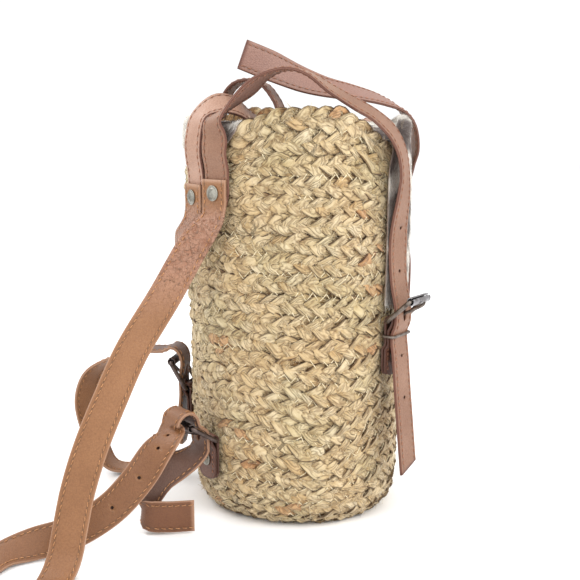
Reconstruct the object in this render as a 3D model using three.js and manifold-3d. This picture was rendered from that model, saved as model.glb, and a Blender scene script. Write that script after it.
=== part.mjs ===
// Straw bucket backpack with an insulated liner, a hide flap and leather straps with roller buckles.
// Millimetres, +Z up. The origin is the centre of the flat base, on the floor.
// +X is the front of the bag, -X the wearer's back, -Y the wearer's left.

import * as THREE from 'three';
import { mergeVertices } from 'three/addons/utils/BufferGeometryUtils.js';
import Module from 'manifold-3d';

const wasm = await Module();
wasm.setup();
const { degToRad, lerp, smoothstep } = THREE.MathUtils;

// Basket
const BASKET_HEIGHT = 345;
const HALF_DEPTH_BACK = 101;
const HALF_DEPTH_FRONT = 96;
const HALF_WIDTH_LEFT = 105;
const HALF_WIDTH_RIGHT = 88;
const BASKET_WALL = 6;
const BASE_ROUNDING = 36;
const FLOOR_SHARE = 0.76;
const WAIST_SHARE = 0.955;
const RIM_SHARE = 0.97;
const SHOULDER_HEIGHT = BASKET_HEIGHT - 55;
const RIM_WAVE = 5;
const RIM_DIP_HALF_ANGLE = 36;
const BASKET_SIDES = 54;

// Fits
const SEAT = 0.3;
const FLAP_SEAT = 0.8;

// Liner and base board
const BOARD_THICKNESS = 2.5;
const FOAM_THICKNESS = 5;
const FOIL_THICKNESS = 1;
const LINER_SIDES = 20;
const LINER_BELOW_RIM = 15;
const RIVET_TAIL_ROOM = 1.6;

// Leather
const STRAP_WIDTH = 27;
const STRAP_THICKNESS = 3;
const HANDLE_WIDTH = 24;
const FLAP_THICKNESS = 2.5;
const TAB_THICKNESS = 2.4;

// Rivets
const RIVET_HEAD_RADIUS = 6.4;
const RIVET_HEAD_HEIGHT = 2.2;
const RIVET_SHANK_RADIUS = 1.8;
const RIVET_TAIL_RADIUS = 4.5;
const RIVET_TAIL_HEIGHT = 1;
const RIVET_HOLE_RADIUS = RIVET_SHANK_RADIUS + SEAT;

// Buckles
const HEEL_BAR_RADIUS = 1.8;
const SIDE_BAR_RADIUS = 2;
const AXLE_RADIUS = 1.5;
const BUCKLE_LENGTH = 28;
const BUCKLE_SIDE_ROOM = 1.3;
const ROLLER_RADIUS = 3.75;
const PRONG_RADIUS = 1.4;
const PRONG_OVERHANG = 3.5;
const PRONG_EYE_WALL = 1.3;
const PRONG_SLOT_WIDTH = 5.8;
const PRONG_HOLE_ROOM = 6;
const ROLLER_BEND_ROOM = 3.8;
const OUTER_BEND_ROOM = 0.9;
const KEEPER_THICKNESS = 1.5;
const KEEPER_HEIGHT = 2.4;
const KEEPER_SIDE_ROOM = 0.6;
const PUNCH_RADIUS = 2;
const PUNCH_PITCH = 36;
const PUNCHES_EACH_WAY = 2;

// Places round the basket in degrees from the front, and heights
const FRONT = { left: -49, right: 25, heel: BASKET_HEIGHT - 169 };
const BACK = { left: 217, right: 201.5, rivetLeft: BASKET_HEIGHT - 62, rivetRight: BASKET_HEIGHT - 67 };
const LOWER = { left: 206, right: 159.5, heelLeft: 72, heelRight: 98 };
const RIM_DIPS = [
  { degrees: FRONT.left, depth: 24 },
  { degrees: FRONT.right, depth: 8 },
  { degrees: BACK.left, depth: 10 },
  { degrees: BACK.right, depth: 3 },
];

// Buckle tabs, measured down from the heel bar, and the lean of each frame away from the wall
const FRONT_TAB = { length: 48, rivetDrop: 31, keeperDrop: 13 };
const LOWER_TAB = { length: 37, rivetDrop: 19 };
const FRONT_LEAN = { left: 48, right: 28 };
const LOWER_LEAN = { left: 58, right: 30 };

// Flap
const FLAP_BACK_HEM = BASKET_HEIGHT - 28;
const FLAP_FRONT_HEM = BASKET_HEIGHT - 157;
const FLAP_LEVEL = BASKET_HEIGHT - 6;
const FLAP_TROUGH = 13;
const FLAP_TROUGH_HALF_WIDTH = 15;
const FLAP_TROUGH_BANK = 15;
const FLAP_STEPS_ACROSS = 15;
const FLAP_MOUTH_STEPS = 11;

const LEATHER = { color: 0xc3917a, roughness: 0.5, metalness: 0 };
const HIDE = { color: 0xcfc4b4, roughness: 0.95, metalness: 0 };
const STRAW = { color: 0xd7c396, roughness: 0.85, metalness: 0 };
const STEEL = { color: 0x8c8a88, roughness: 0.35, metalness: 1 };
const FOAM = { color: 0xe8e8e4, roughness: 0.9, metalness: 0 };
const FOIL = { color: 0xc8ccd0, roughness: 0.3, metalness: 0.8 };
const BOARD = { color: 0x5a4a3c, roughness: 0.8, metalness: 0 };

const bag = new THREE.Group();

function add(name, geometry, finish, parent = bag) {
  const mesh = new THREE.Mesh(geometry, new THREE.MeshStandardMaterial(finish));
  mesh.name = name;
  parent.add(mesh);
  return mesh;
}

// Solids for cutting and joining

function toSolid(geometry) {
  const bare = new THREE.BufferGeometry();
  bare.setAttribute('position', geometry.getAttribute('position').clone());
  bare.setIndex(geometry.getIndex() ? geometry.getIndex().clone() : null);
  const merged = mergeVertices(bare, 1e-4);
  return new wasm.Manifold(new wasm.Mesh({
    numProp: 3,
    vertProperties: new Float32Array(merged.getAttribute('position').array),
    triVerts: new Uint32Array(merged.getIndex().array),
  }));
}

function toGeometry(solid) {
  const mesh = solid.getMesh();
  const geometry = new THREE.BufferGeometry();
  geometry.setAttribute('position', new THREE.BufferAttribute(mesh.vertProperties.slice(), 3));
  geometry.setIndex(new THREE.BufferAttribute(mesh.triVerts.slice(), 1));
  geometry.computeVertexNormals();
  return geometry;
}

function cut(geometry, ...tools) {
  return toGeometry(tools.reduce((body, tool) => body.subtract(toSolid(tool)), toSolid(geometry)));
}

function join(...geometries) {
  return toGeometry(geometries.map(toSolid).reduce((body, next) => body.add(next)));
}

// Closed shell from rings of points with the same count, capped by a pole at each end.
function loft(rings) {
  const sides = rings[0].length;
  const positions = [];
  const triangles = [];
  for (const ring of rings) {
    for (const point of ring) positions.push(point.x, point.y, point.z);
  }
  for (let level = 0; level < rings.length - 1; level += 1) {
    for (let side = 0; side < sides; side += 1) {
      const here = level * sides + side;
      const beside = level * sides + (side + 1) % sides;
      triangles.push(here, beside, beside + sides, here, beside + sides, here + sides);
    }
  }
  for (const [level, turn] of [[0, 1], [rings.length - 1, 0]]) {
    const centre = new THREE.Vector3();
    for (const point of rings[level]) centre.addScaledVector(point, 1 / sides);
    const pole = positions.length / 3;
    positions.push(centre.x, centre.y, centre.z);
    for (let side = 0; side < sides; side += 1) {
      const pair = [level * sides + side, level * sides + (side + 1) % sides];
      triangles.push(pole, pair[turn], pair[1 - turn]);
    }
  }
  const geometry = new THREE.BufferGeometry();
  geometry.setAttribute('position', new THREE.Float32BufferAttribute(positions, 3));
  geometry.setIndex(triangles);
  geometry.computeVertexNormals();
  return geometry;
}

// Basket section: rounded at the base, fullest below the rim, straight between levels.

const LEVELS = [0, 0.1, 0.33, 0.66, 1].map((share) => share * BASE_ROUNDING)
  .concat([0.33, 0.67, 1].map((share) => lerp(BASE_ROUNDING, SHOULDER_HEIGHT, share)), BASKET_HEIGHT);

function smoothSection(height) {
  if (height < BASE_ROUNDING) {
    const below = 1 - height / BASE_ROUNDING;
    return lerp(FLOOR_SHARE, WAIST_SHARE, Math.sqrt(1 - below * below));
  }
  if (height > SHOULDER_HEIGHT) return lerp(1, RIM_SHARE, smoothstep(height, SHOULDER_HEIGHT, BASKET_HEIGHT));
  return lerp(WAIST_SHARE, 1, smoothstep(height, BASE_ROUNDING, SHOULDER_HEIGHT));
}

function section(height) {
  const above = LEVELS.findIndex((level) => level > height);
  if (above < 0) return RIM_SHARE;
  const low = LEVELS[above - 1];
  const high = LEVELS[above];
  return lerp(smoothSection(low), smoothSection(high), (height - low) / (high - low));
}

const halfWidth = (degrees) => (Math.sin(degToRad(degrees)) < 0 ? HALF_WIDTH_LEFT : HALF_WIDTH_RIGHT);
const halfDepth = (degrees) => (Math.cos(degToRad(degrees)) < 0 ? HALF_DEPTH_BACK : HALF_DEPTH_FRONT);

// Horizontal direction that points out of the wall.
function wallNormal(degrees) {
  const angle = degToRad(degrees);
  const slope = new THREE.Vector3(Math.cos(angle) / halfDepth(degrees), Math.sin(angle) / halfWidth(degrees), 0);
  return slope.normalize();
}

// Horizontal direction along the wall, towards larger degrees.
const wallRun = (degrees) => new THREE.Vector3(0, 0, 1).cross(wallNormal(degrees));

function wallPoint(degrees, height, out = 0) {
  const angle = degToRad(degrees);
  const share = section(height);
  const x = halfDepth(degrees) * share * Math.cos(angle);
  const y = halfWidth(degrees) * share * Math.sin(angle);
  return new THREE.Vector3(x, y, height).addScaledVector(wallNormal(degrees), out);
}

// The rim waves and is pulled down where a closing strap crosses it.
function rimHeight(degrees) {
  let height = BASKET_HEIGHT - RIM_WAVE * Math.cos(2 * degToRad(degrees));
  for (const dip of RIM_DIPS) {
    const away = Math.abs(THREE.MathUtils.euclideanModulo(degrees - dip.degrees + 180, 360) - 180);
    if (away < RIM_DIP_HALF_ANGLE) {
      height -= dip.depth * Math.cos((away / RIM_DIP_HALF_ANGLE) * Math.PI / 2) ** 2;
    }
  }
  return height;
}

function ringAt(sides, height, out) {
  const ring = [];
  for (let side = 0; side < sides; side += 1) {
    const degrees = side * 360 / sides;
    ring.push(wallPoint(degrees, height(degrees), out));
  }
  return ring;
}

// Open cup inside the basket's section: its outer face lies `inset` within the basket's outer face.
function cup(sides, inset, wall, bottom, floor, top, lipSteps) {
  const walls = LEVELS.slice(1, -1).filter((level) => level > bottom + floor + SEAT);
  const rings = [ringAt(sides, () => bottom, -inset)];
  for (const level of walls) rings.push(ringAt(sides, () => level, -inset));
  const lip = wall / 2;
  for (let step = 0; step <= lipSteps; step += 1) {
    const angle = Math.PI * step / lipSteps;
    const rise = lip * (Math.sin(angle) - 1);
    rings.push(ringAt(sides, (degrees) => top(degrees) + rise, -inset - lip + lip * Math.cos(angle)));
  }
  for (const level of walls.reverse()) rings.push(ringAt(sides, () => level, -inset - wall));
  rings.push(ringAt(sides, () => bottom + floor, -inset - wall));
  return loft(rings);
}

// Strip of leather along stations { at, across, wide }: `at` is its middle, `across` its width direction.
function strip(stations, width, thickness, steps) {
  const middle = new THREE.CatmullRomCurve3(stations.map((station) => station.at), false, 'centripetal');
  const sideways = new THREE.CatmullRomCurve3(stations.map((station) => station.across));
  const share = (place) => place.wide ?? 1;
  const rings = [];
  for (let step = 0; step <= steps; step += 1) {
    const along = step / steps;
    const point = middle.getPoint(along);
    const tangent = middle.getTangent(along);
    const across = sideways.getPoint(along);
    across.addScaledVector(tangent, -across.dot(tangent)).normalize();
    const normal = tangent.clone().cross(across);
    const place = Math.min(along * (stations.length - 1), stations.length - 1.0001);
    const before = Math.floor(place);
    const wide = lerp(share(stations[before]), share(stations[before + 1]), place - before);
    rings.push([[-1, -1], [1, -1], [1, 1], [-1, 1]].map(([side, face]) => point.clone()
      .addScaledVector(across, side * wide * width / 2)
      .addScaledVector(normal, face * thickness / 2)));
  }
  return loft(rings);
}

// Sheet of even thickness through a grid of middle points.
function sheet(grid, thickness) {
  const rows = grid.length;
  const columns = grid[0].length;
  const faces = [[], []];
  for (let row = 0; row < rows; row += 1) {
    for (let column = 0; column < columns; column += 1) {
      const along = grid[Math.min(row + 1, rows - 1)][column].clone().sub(grid[Math.max(row - 1, 0)][column]);
      const across = grid[row][Math.min(column + 1, columns - 1)].clone()
        .sub(grid[row][Math.max(column - 1, 0)]);
      const normal = along.cross(across).normalize();
      faces[0].push(grid[row][column].clone().addScaledVector(normal, thickness / 2));
      faces[1].push(grid[row][column].clone().addScaledVector(normal, -thickness / 2));
    }
  }
  const positions = faces.flat().flatMap((point) => point.toArray());
  const under = rows * columns;
  const triangles = [];
  const quad = (a, b, c, d) => triangles.push(a, b, c, a, c, d);
  for (let row = 0; row < rows - 1; row += 1) {
    for (let column = 0; column < columns - 1; column += 1) {
      const corner = row * columns + column;
      quad(corner, corner + columns, corner + columns + 1, corner + 1);
      quad(under + corner, under + corner + 1, under + corner + columns + 1, under + corner + columns);
    }
  }
  const border = [];
  for (let column = 0; column < columns - 1; column += 1) border.push(column);
  for (let row = 0; row < rows - 1; row += 1) border.push(row * columns + columns - 1);
  for (let column = columns - 1; column > 0; column -= 1) border.push((rows - 1) * columns + column);
  for (let row = rows - 1; row > 0; row -= 1) border.push(row * columns);
  border.forEach((point, index) => {
    const next = border[(index + 1) % border.length];
    quad(point, next, under + next, under + point);
  });
  const geometry = new THREE.BufferGeometry();
  geometry.setAttribute('position', new THREE.Float32BufferAttribute(positions, 3));
  geometry.setIndex(triangles);
  geometry.computeVertexNormals();
  return geometry;
}

// Group on the wall whose x runs sideways, y points out and z up.
function wallSite(degrees, height) {
  const site = new THREE.Group();
  const normal = wallNormal(degrees);
  site.position.copy(wallPoint(degrees, height));
  site.rotation.z = Math.atan2(normal.y, normal.x) - Math.PI / 2;
  site.updateMatrix();
  bag.add(site);
  return site;
}

const fromSite = (site, x, y, z) => new THREE.Vector3(x, y, z).applyMatrix4(site.matrix);

// Straight rod from one height to another along local y.
function rodOut(radius, from, to, z = 0, sides = 12) {
  return new THREE.CylinderGeometry(radius, radius, to - from, sides).translate(0, (from + to) / 2, z);
}

// Rod along local x.
function rodAcross(radius, length, z, sides = 12) {
  return new THREE.CylinderGeometry(radius, radius, length, sides).rotateZ(Math.PI / 2).translate(0, 0, z);
}

// Rivet along local y with a domed head outside and a flat tail inside.
function rivet(headSeat, tailSeat) {
  const profile = [new THREE.Vector2(0, tailSeat - RIVET_TAIL_HEIGHT)];
  profile.push(new THREE.Vector2(RIVET_TAIL_RADIUS, tailSeat - RIVET_TAIL_HEIGHT));
  profile.push(new THREE.Vector2(RIVET_TAIL_RADIUS, tailSeat));
  profile.push(new THREE.Vector2(RIVET_SHANK_RADIUS, tailSeat));
  profile.push(new THREE.Vector2(RIVET_SHANK_RADIUS, headSeat));
  for (let step = 0; step < 3; step += 1) {
    const angle = (Math.PI / 2) * step / 3;
    const radius = RIVET_HEAD_RADIUS * Math.cos(angle);
    profile.push(new THREE.Vector2(radius, headSeat + RIVET_HEAD_HEIGHT * (0.25 + 0.75 * Math.sin(angle))));
  }
  profile.splice(5, 0, new THREE.Vector2(RIVET_HEAD_RADIUS, headSeat));
  profile.push(new THREE.Vector2(0, headSeat + RIVET_HEAD_HEIGHT));
  return new THREE.LatheGeometry(profile, 10);
}

// Basket, board and liner

const basketHoles = [];
const boardBottom = BASKET_WALL + SEAT;
const foamInset = BASKET_WALL + RIVET_TAIL_ROOM;
const foamBottom = boardBottom + BOARD_THICKNESS + SEAT;
const foilInset = foamInset + FOAM_THICKNESS + SEAT;
const foilBottom = foamBottom + FOAM_THICKNESS + SEAT;
const linerTop = (degrees) => rimHeight(degrees) - LINER_BELOW_RIM;

add('base_board', loft([
  ringAt(LINER_SIDES, () => boardBottom, -foamInset),
  ringAt(LINER_SIDES, () => boardBottom + BOARD_THICKNESS, -foamInset),
]), BOARD);
add('liner_foam',
  cup(LINER_SIDES, foamInset, FOAM_THICKNESS, foamBottom, FOAM_THICKNESS, linerTop, 2), FOAM);
add('liner_foil',
  cup(LINER_SIDES, foilInset, FOIL_THICKNESS, foilBottom, FOIL_THICKNESS, linerTop, 2), FOIL);

// Back rivets through the closing strap, the shoulder strap and the wall

const closingSeat = SEAT + STRAP_THICKNESS / 2;
const shoulderSeat = closingSeat + STRAP_THICKNESS + SEAT;

function backRivet(side, degrees, height) {
  const site = wallSite(degrees, height);
  add(`back_rivet_${side}`,
    rivet(shoulderSeat + STRAP_THICKNESS / 2 + SEAT, -BASKET_WALL - SEAT), STEEL, site);
  const hole = rodOut(RIVET_HOLE_RADIUS, -BASKET_WALL * 2, shoulderSeat * 2).applyMatrix4(site.matrix);
  basketHoles.push(hole);
  return hole;
}

const backHoleLeft = backRivet('left', BACK.left, BACK.rivetLeft);
const backHoleRight = backRivet('right', BACK.right, BACK.rivetRight);

// Roller buckle on a folded tab. The heel bar lies in the fold, at the site's origin height.

const foldRadius = HEEL_BAR_RADIUS + SEAT + TAB_THICKNESS / 2;
const frameHalfWidth = STRAP_WIDTH / 2 + BUCKLE_SIDE_ROOM + SIDE_BAR_RADIUS;

function buckle(place, side, degrees, height, tilt, tab) {
  const site = wallSite(degrees, height);
  // How far the wall lies out at a height above the heel bar, against the wall at the bar.
  const wallOut = (up) => wallPoint(degrees, height + up).sub(wallPoint(degrees, height)).dot(wallNormal(degrees));
  const stand = tab.keeperDrop ? KEEPER_THICKNESS + 2 * SEAT : SEAT;
  const inner = SEAT + TAB_THICKNESS / 2;
  const backLayer = stand + TAB_THICKNESS / 2;
  const layerStep = TAB_THICKNESS + SEAT;
  const heelOut = backLayer + foldRadius;
  const frontLayer = backLayer + layerStep;
  const foldFace = heelOut + foldRadius + TAB_THICKNESS / 2;

  // Tab: up the back, round the bar and down the front, riveted through both layers.
  const across = new THREE.Vector3(1, 0, 0);
  const low = (out, up) => [out + wallOut(up), up];
  const headTop = RIVET_HEAD_RADIUS + SEAT - tab.rivetDrop;
  const straightEnd = tab.keeperDrop ? headTop + 4 : headTop + 2;
  const lowUps = [-tab.length, -(tab.length + tab.rivetDrop) / 2, -tab.rivetDrop, headTop];
  const path = lowUps.map((up) => low(inner, up));
  path.push([backLayer, straightEnd], [backLayer, straightEnd / 2]);
  for (let step = 0; step <= 6; step += 1) {
    const angle = Math.PI * step / 6;
    path.push([heelOut - foldRadius * Math.cos(angle), foldRadius * Math.sin(angle)]);
  }
  path.push([lerp(heelOut + foldRadius, frontLayer, 0.45), -foldRadius * 1.5]);
  path.push([frontLayer + SEAT / 2, -foldRadius * 2.6], [frontLayer, straightEnd]);
  path.push(...lowUps.reverse().map((up) => low(inner + layerStep, up)));
  const stations = path.map(([out, up]) => ({ at: new THREE.Vector3(0, out, up), across }));
  stations[0].wide = 0.7;
  stations.at(-1).wide = 0.7;
  const slotTop = foldRadius + TAB_THICKNESS;
  const slotBottom = -foldRadius - SEAT;
  const slot = new THREE.BoxGeometry(PRONG_SLOT_WIDTH, foldFace * 2, slotTop - slotBottom)
    .translate(0, foldFace, (slotTop + slotBottom) / 2);
  const rivetHole = rodOut(RIVET_HOLE_RADIUS, -BASKET_WALL * 2, foldFace, 0).translate(0, 0, -tab.rivetDrop);
  add(`${place}_tab_${side}`, cut(strip(stations, STRAP_WIDTH, TAB_THICKNESS, 26), slot, rivetHole),
    LEATHER, site);
  add(`${place}_rivet_${side}`,
    rivet(inner + layerStep + TAB_THICKNESS / 2 + SEAT, -BASKET_WALL - SEAT), STEEL, site)
    .position.set(0, wallOut(-tab.rivetDrop), -tab.rivetDrop);
  basketHoles.push(rivetHole.clone().applyMatrix4(site.matrix));

  // Frame, roller and prong share the heel bar's line as their origin and lean out together.
  const lean = new THREE.Group();
  lean.position.y = heelOut;
  lean.rotation.x = -degToRad(tilt);
  site.add(lean);
  const barLength = 2 * frameHalfWidth;
  const corners = [-1, 1].flatMap((end) => [0, BUCKLE_LENGTH].map((z) => (
    new THREE.SphereGeometry(SIDE_BAR_RADIUS, 8, 5).translate(end * frameHalfWidth, 0, z))));
  const sides = [-1, 1].map((end) => (
    new THREE.CylinderGeometry(SIDE_BAR_RADIUS, SIDE_BAR_RADIUS, BUCKLE_LENGTH, 8).rotateX(Math.PI / 2)
      .translate(end * frameHalfWidth, 0, BUCKLE_LENGTH / 2)));
  add(`${place}_buckle_${side}`, join(rodAcross(HEEL_BAR_RADIUS, barLength, 0, 8),
    rodAcross(AXLE_RADIUS, barLength, BUCKLE_LENGTH, 8), ...sides, ...corners), STEEL, lean);

  const rollerHalf = frameHalfWidth - SIDE_BAR_RADIUS - SEAT;
  const bore = AXLE_RADIUS + SEAT;
  const tube = [[bore, -rollerHalf], [ROLLER_RADIUS, -rollerHalf], [ROLLER_RADIUS, rollerHalf]];
  tube.push([bore, rollerHalf], [bore, -rollerHalf]);
  const roller = new THREE.LatheGeometry(tube.map(([r, y]) => new THREE.Vector2(r, y)), 14);
  add(`${place}_roller_${side}`, roller.rotateZ(Math.PI / 2), STEEL, lean)
    .position.z = BUCKLE_LENGTH;

  const eyeBore = HEEL_BAR_RADIUS + SEAT;
  const eyeRadius = eyeBore + PRONG_EYE_WALL;
  const eyeHalf = PRONG_SLOT_WIDTH / 2 - 2 * SEAT - SEAT;
  const ring = [[eyeBore, -eyeHalf], [eyeRadius, -eyeHalf], [eyeRadius, eyeHalf], [eyeBore, eyeHalf]];
  ring.push([eyeBore, -eyeHalf]);
  const eye = new THREE.LatheGeometry(ring.map(([r, y]) => new THREE.Vector2(r, y)), 12).rotateZ(Math.PI / 2);
  const clearOfRoller = ROLLER_RADIUS + SEAT + PRONG_RADIUS;
  const prongPath = new THREE.CatmullRomCurve3([
    new THREE.Vector3(0, 0, (eyeBore + eyeRadius) / 2),
    new THREE.Vector3(0, clearOfRoller * 0.15, BUCKLE_LENGTH * 0.3),
    new THREE.Vector3(0, clearOfRoller * 0.7, BUCKLE_LENGTH * 0.7),
    new THREE.Vector3(0, clearOfRoller + 0.2, BUCKLE_LENGTH),
    new THREE.Vector3(0, clearOfRoller - 0.4, BUCKLE_LENGTH + PRONG_OVERHANG),
  ]);
  const round = new THREE.Shape().absarc(0, 0, PRONG_RADIUS, 0, Math.PI * 2);
  const shank = new THREE.ExtrudeGeometry(round, { steps: 7, curveSegments: 3, extrudePath: prongPath });
  add(`${place}_prong_${side}`, join(eye, shank), STEEL, lean);

  // Oblong hole in the strap over the fold, where the prong comes through.
  const tiltAngle = degToRad(tilt);
  const strapOut = foldFace + SEAT + STRAP_THICKNESS / 2;
  const holeUp = (strapOut - heelOut) / Math.tan(tiltAngle) * 0.9;
  const holeLength = STRAP_THICKNESS / Math.tan(tiltAngle) + 2 * PRONG_RADIUS / Math.sin(tiltAngle) + PRONG_HOLE_ROOM;
  const prongHole = new THREE.BoxGeometry(2 * (PRONG_RADIUS + 2 * SEAT), STRAP_THICKNESS * 4, holeLength)
    .translate(0, strapOut, holeUp).applyMatrix4(site.matrix);

  const keeperOut = frontLayer + TAB_THICKNESS / 2 + 2 * SEAT + STRAP_THICKNESS / 2;
  if (tab.keeperDrop) {
    const halfInside = STRAP_WIDTH / 2 + KEEPER_SIDE_ROOM;
    const halfOutside = halfInside + KEEPER_THICKNESS;
    const insideBack = stand - SEAT;
    const insideDepth = keeperOut + STRAP_THICKNESS / 2 + 2 * SEAT - insideBack;
    const outer = new THREE.BoxGeometry(2 * halfOutside, insideDepth + 2 * KEEPER_THICKNESS, KEEPER_HEIGHT);
    const hollow = new THREE.BoxGeometry(2 * halfInside, insideDepth, KEEPER_HEIGHT * 2);
    add(`${place}_keeper_${side}`, cut(outer, hollow), STEEL, site)
      .position.set(0, insideBack + insideDepth / 2, -tab.keeperDrop);
  }
  const rivetFace = inner + layerStep + TAB_THICKNESS / 2 + SEAT + RIVET_HEAD_HEIGHT;
  const punches = [];
  for (let step = -PUNCHES_EACH_WAY; step <= PUNCHES_EACH_WAY; step += 1) {
    if (step !== 0) {
      punches.push(rodOut(PUNCH_RADIUS, 0, foldFace * 3, holeUp + step * PUNCH_PITCH, 8).applyMatrix4(site.matrix));
    }
  }
  return { site, heelOut, strapOut, prongHole, punches, tiltAngle, rivetFace, keeperOut };
}

const frontLeft = buckle('front', 'left', FRONT.left, FRONT.heel, FRONT_LEAN.left, FRONT_TAB);
const frontRight = buckle('front', 'right', FRONT.right, FRONT.heel, FRONT_LEAN.right, FRONT_TAB);
const lowerLeft = buckle('lower', 'left', LOWER.left, LOWER.heelLeft, LOWER_LEAN.left, LOWER_TAB);
const lowerRight = buckle('lower', 'right', LOWER.right, LOWER.heelRight, LOWER_LEAN.right, LOWER_TAB);

add('basket_body', cut(cup(BASKET_SIDES, 0, BASKET_WALL, 0, BASKET_WALL, rimHeight, 4), ...basketHoles), STRAW);

// Hide flap: sewn on below the back rim, over the mouth, over the front rim and down to its front hem.

const flapOut = FLAP_SEAT + FLAP_THICKNESS / 2;
const flapInside = -BASKET_WALL - 3;
const flapLean = (share) => 1 - (1 - share) ** 4;
const flapBack = { near: 230, far: 168 };
const flapFront = { near: -71, far: 34 };
const flapHem = { near: -58.5, far: 14 };

// The closing strap on the right lies in a trough of the flap between these two places.
const troughStart = wallPoint(BACK.right, BASKET_HEIGHT);
const troughEnd = wallPoint(FRONT.right, BASKET_HEIGHT);
const trough = new THREE.Line3(troughStart.setZ(0), troughEnd.setZ(0));

function flapHeight(point) {
  const flat = new THREE.Vector3(point.x, point.y, 0);
  const alongX = point.x / (point.x < 0 ? HALF_DEPTH_BACK : HALF_DEPTH_FRONT);
  const alongY = point.y / (point.y < 0 ? HALF_WIDTH_LEFT : HALF_WIDTH_RIGHT);
  const degrees = THREE.MathUtils.radToDeg(Math.atan2(alongY, alongX));
  const outward = Math.hypot(alongX, alongY);
  const away = flat.distanceTo(trough.closestPointToPoint(flat, true, new THREE.Vector3()));
  const bank = 1 - smoothstep(away, FLAP_TROUGH_HALF_WIDTH, FLAP_TROUGH_HALF_WIDTH + FLAP_TROUGH_BANK);
  const sag = FLAP_TROUGH * bank * (1 - smoothstep(outward, 0.7, 0.95));
  const level = Math.min(FLAP_LEVEL, lerp(FLAP_LEVEL, rimHeight(degrees) - 3, smoothstep(outward, 0.55, 0.9)));
  return level - sag;
}

function flapArc(span, row) {
  const angle = degToRad(row);
  const radius = BASKET_WALL / 2 + flapOut;
  return (share) => {
    const degrees = lerp(span.near, span.far, share);
    const height = rimHeight(degrees) - BASKET_WALL / 2 + radius * Math.sin(angle);
    return wallPoint(degrees, height, -BASKET_WALL / 2 + radius * Math.cos(angle));
  };
}

const flapRows = [(share) => wallPoint(lerp(flapBack.near, flapBack.far, share), FLAP_BACK_HEM, flapOut)];
for (const row of [0, 45, 90, 135]) flapRows.push(flapArc(flapBack, row));
const mouthRows = FLAP_MOUTH_STEPS;
for (let row = 0; row <= mouthRows; row += 1) {
  const along = row / mouthRows;
  const near = wallPoint(lerp(flapBack.near, 360 + flapFront.near, along), BASKET_HEIGHT, flapInside);
  const far = wallPoint(lerp(flapBack.far, flapFront.far, along), BASKET_HEIGHT, flapInside);
  const bow = 1 - Math.sin(Math.PI * along);
  flapRows.push((share) => {
    const span = row < mouthRows / 2 ? flapBack : flapFront;
    const rounded = wallPoint(lerp(span.near, span.far, share), BASKET_HEIGHT, flapInside);
    const point = near.clone().lerp(far, share).lerp(rounded, row % mouthRows === 0 ? 1 : bow ** 3);
    return point.setZ(flapHeight(point));
  });
}
for (const row of [135, 90, 45, 0]) flapRows.push(flapArc(flapFront, row));
for (const share of [-0.5, 0, 0.25, 0.5, 0.75, 1]) {
  const turn = flapLean((share + 1) / 2);
  const near = lerp(flapFront.near, flapHem.near, turn);
  const far = lerp(flapFront.far, flapHem.far, turn);
  flapRows.push((across) => {
    const degrees = lerp(near, far, across);
    const top = lerp(rimHeight(degrees) - BASKET_WALL / 2, SHOULDER_HEIGHT, Math.min(share + 1, 1));
    return wallPoint(degrees, lerp(top, FLAP_FRONT_HEM, Math.max(share, 0)), flapOut);
  });
}
const flapGrid = flapRows.map((row) => {
  const line = [];
  for (let step = 0; step <= FLAP_STEPS_ACROSS; step += 1) line.push(row(step / FLAP_STEPS_ACROSS));
  return line;
});

// Straps. A station is a middle point with the strip's width direction.

function station(x, y, z, across, wide) {
  return { at: new THREE.Vector3(x, y, z), across: new THREE.Vector3(...across), wide };
}
const overFlap = flapOut + FLAP_THICKNESS / 2 + SEAT + STRAP_THICKNESS / 2 + SEAT;

// Station above or below the top of the basket by `rise`.
const mouthStation = (x, y, rise, across, wide) => station(x, y, BASKET_HEIGHT + rise, across, wide);

function wallStation(degrees, height, out, turn, wide) {
  return { at: wallPoint(degrees, height, out), across: wallRun(degrees).multiplyScalar(turn), wide };
}

// Station in a buckle's own frame: out from the wall and up from the heel bar.
function siteStation(place, degrees, out, up, turn, wide) {
  return { at: fromSite(place.site, 0, out, up), across: wallRun(degrees).multiplyScalar(turn), wide };
}

function closingBackEnd(degrees, rivetHeight) {
  const rim = rimHeight(degrees);
  return [
    wallStation(degrees, rivetHeight - 11, closingSeat, -1, 0.8),
    wallStation(degrees, rivetHeight, closingSeat, -1),
    wallStation(degrees, rivetHeight + 9, closingSeat, -1),
    wallStation(degrees, rivetHeight + 19, closingSeat + 0.5, -1),
    wallStation(degrees, FLAP_BACK_HEM - 2, overFlap + 0.6, -1),
    wallStation(degrees, rim - 4, overFlap + 0.8, -1),
  ];
}

function closingThroughBuckle(place, degrees) {
  return [
    siteStation(place, degrees, overFlap + 2, 108, 1),
    siteStation(place, degrees, overFlap + 2, 74, 1),
    siteStation(place, degrees, overFlap + 2.5, 36, 1),
    siteStation(place, degrees, place.strapOut - 0.6, 12, 1),
    siteStation(place, degrees, place.strapOut + 0.1, 3, 1),
    siteStation(place, degrees, place.strapOut - 0.6, -4, 1),
    siteStation(place, degrees, place.keeperOut + 0.15, KEEPER_HEIGHT / 2 + 0.5 - FRONT_TAB.keeperDrop, 1),
    siteStation(place, degrees, place.keeperOut, -FRONT_TAB.keeperDrop - KEEPER_HEIGHT / 2 - 2, 1),
  ];
}

const tabClear = frontLeft.rivetFace + SEAT + STRAP_THICKNESS / 2 + SEAT;

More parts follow.
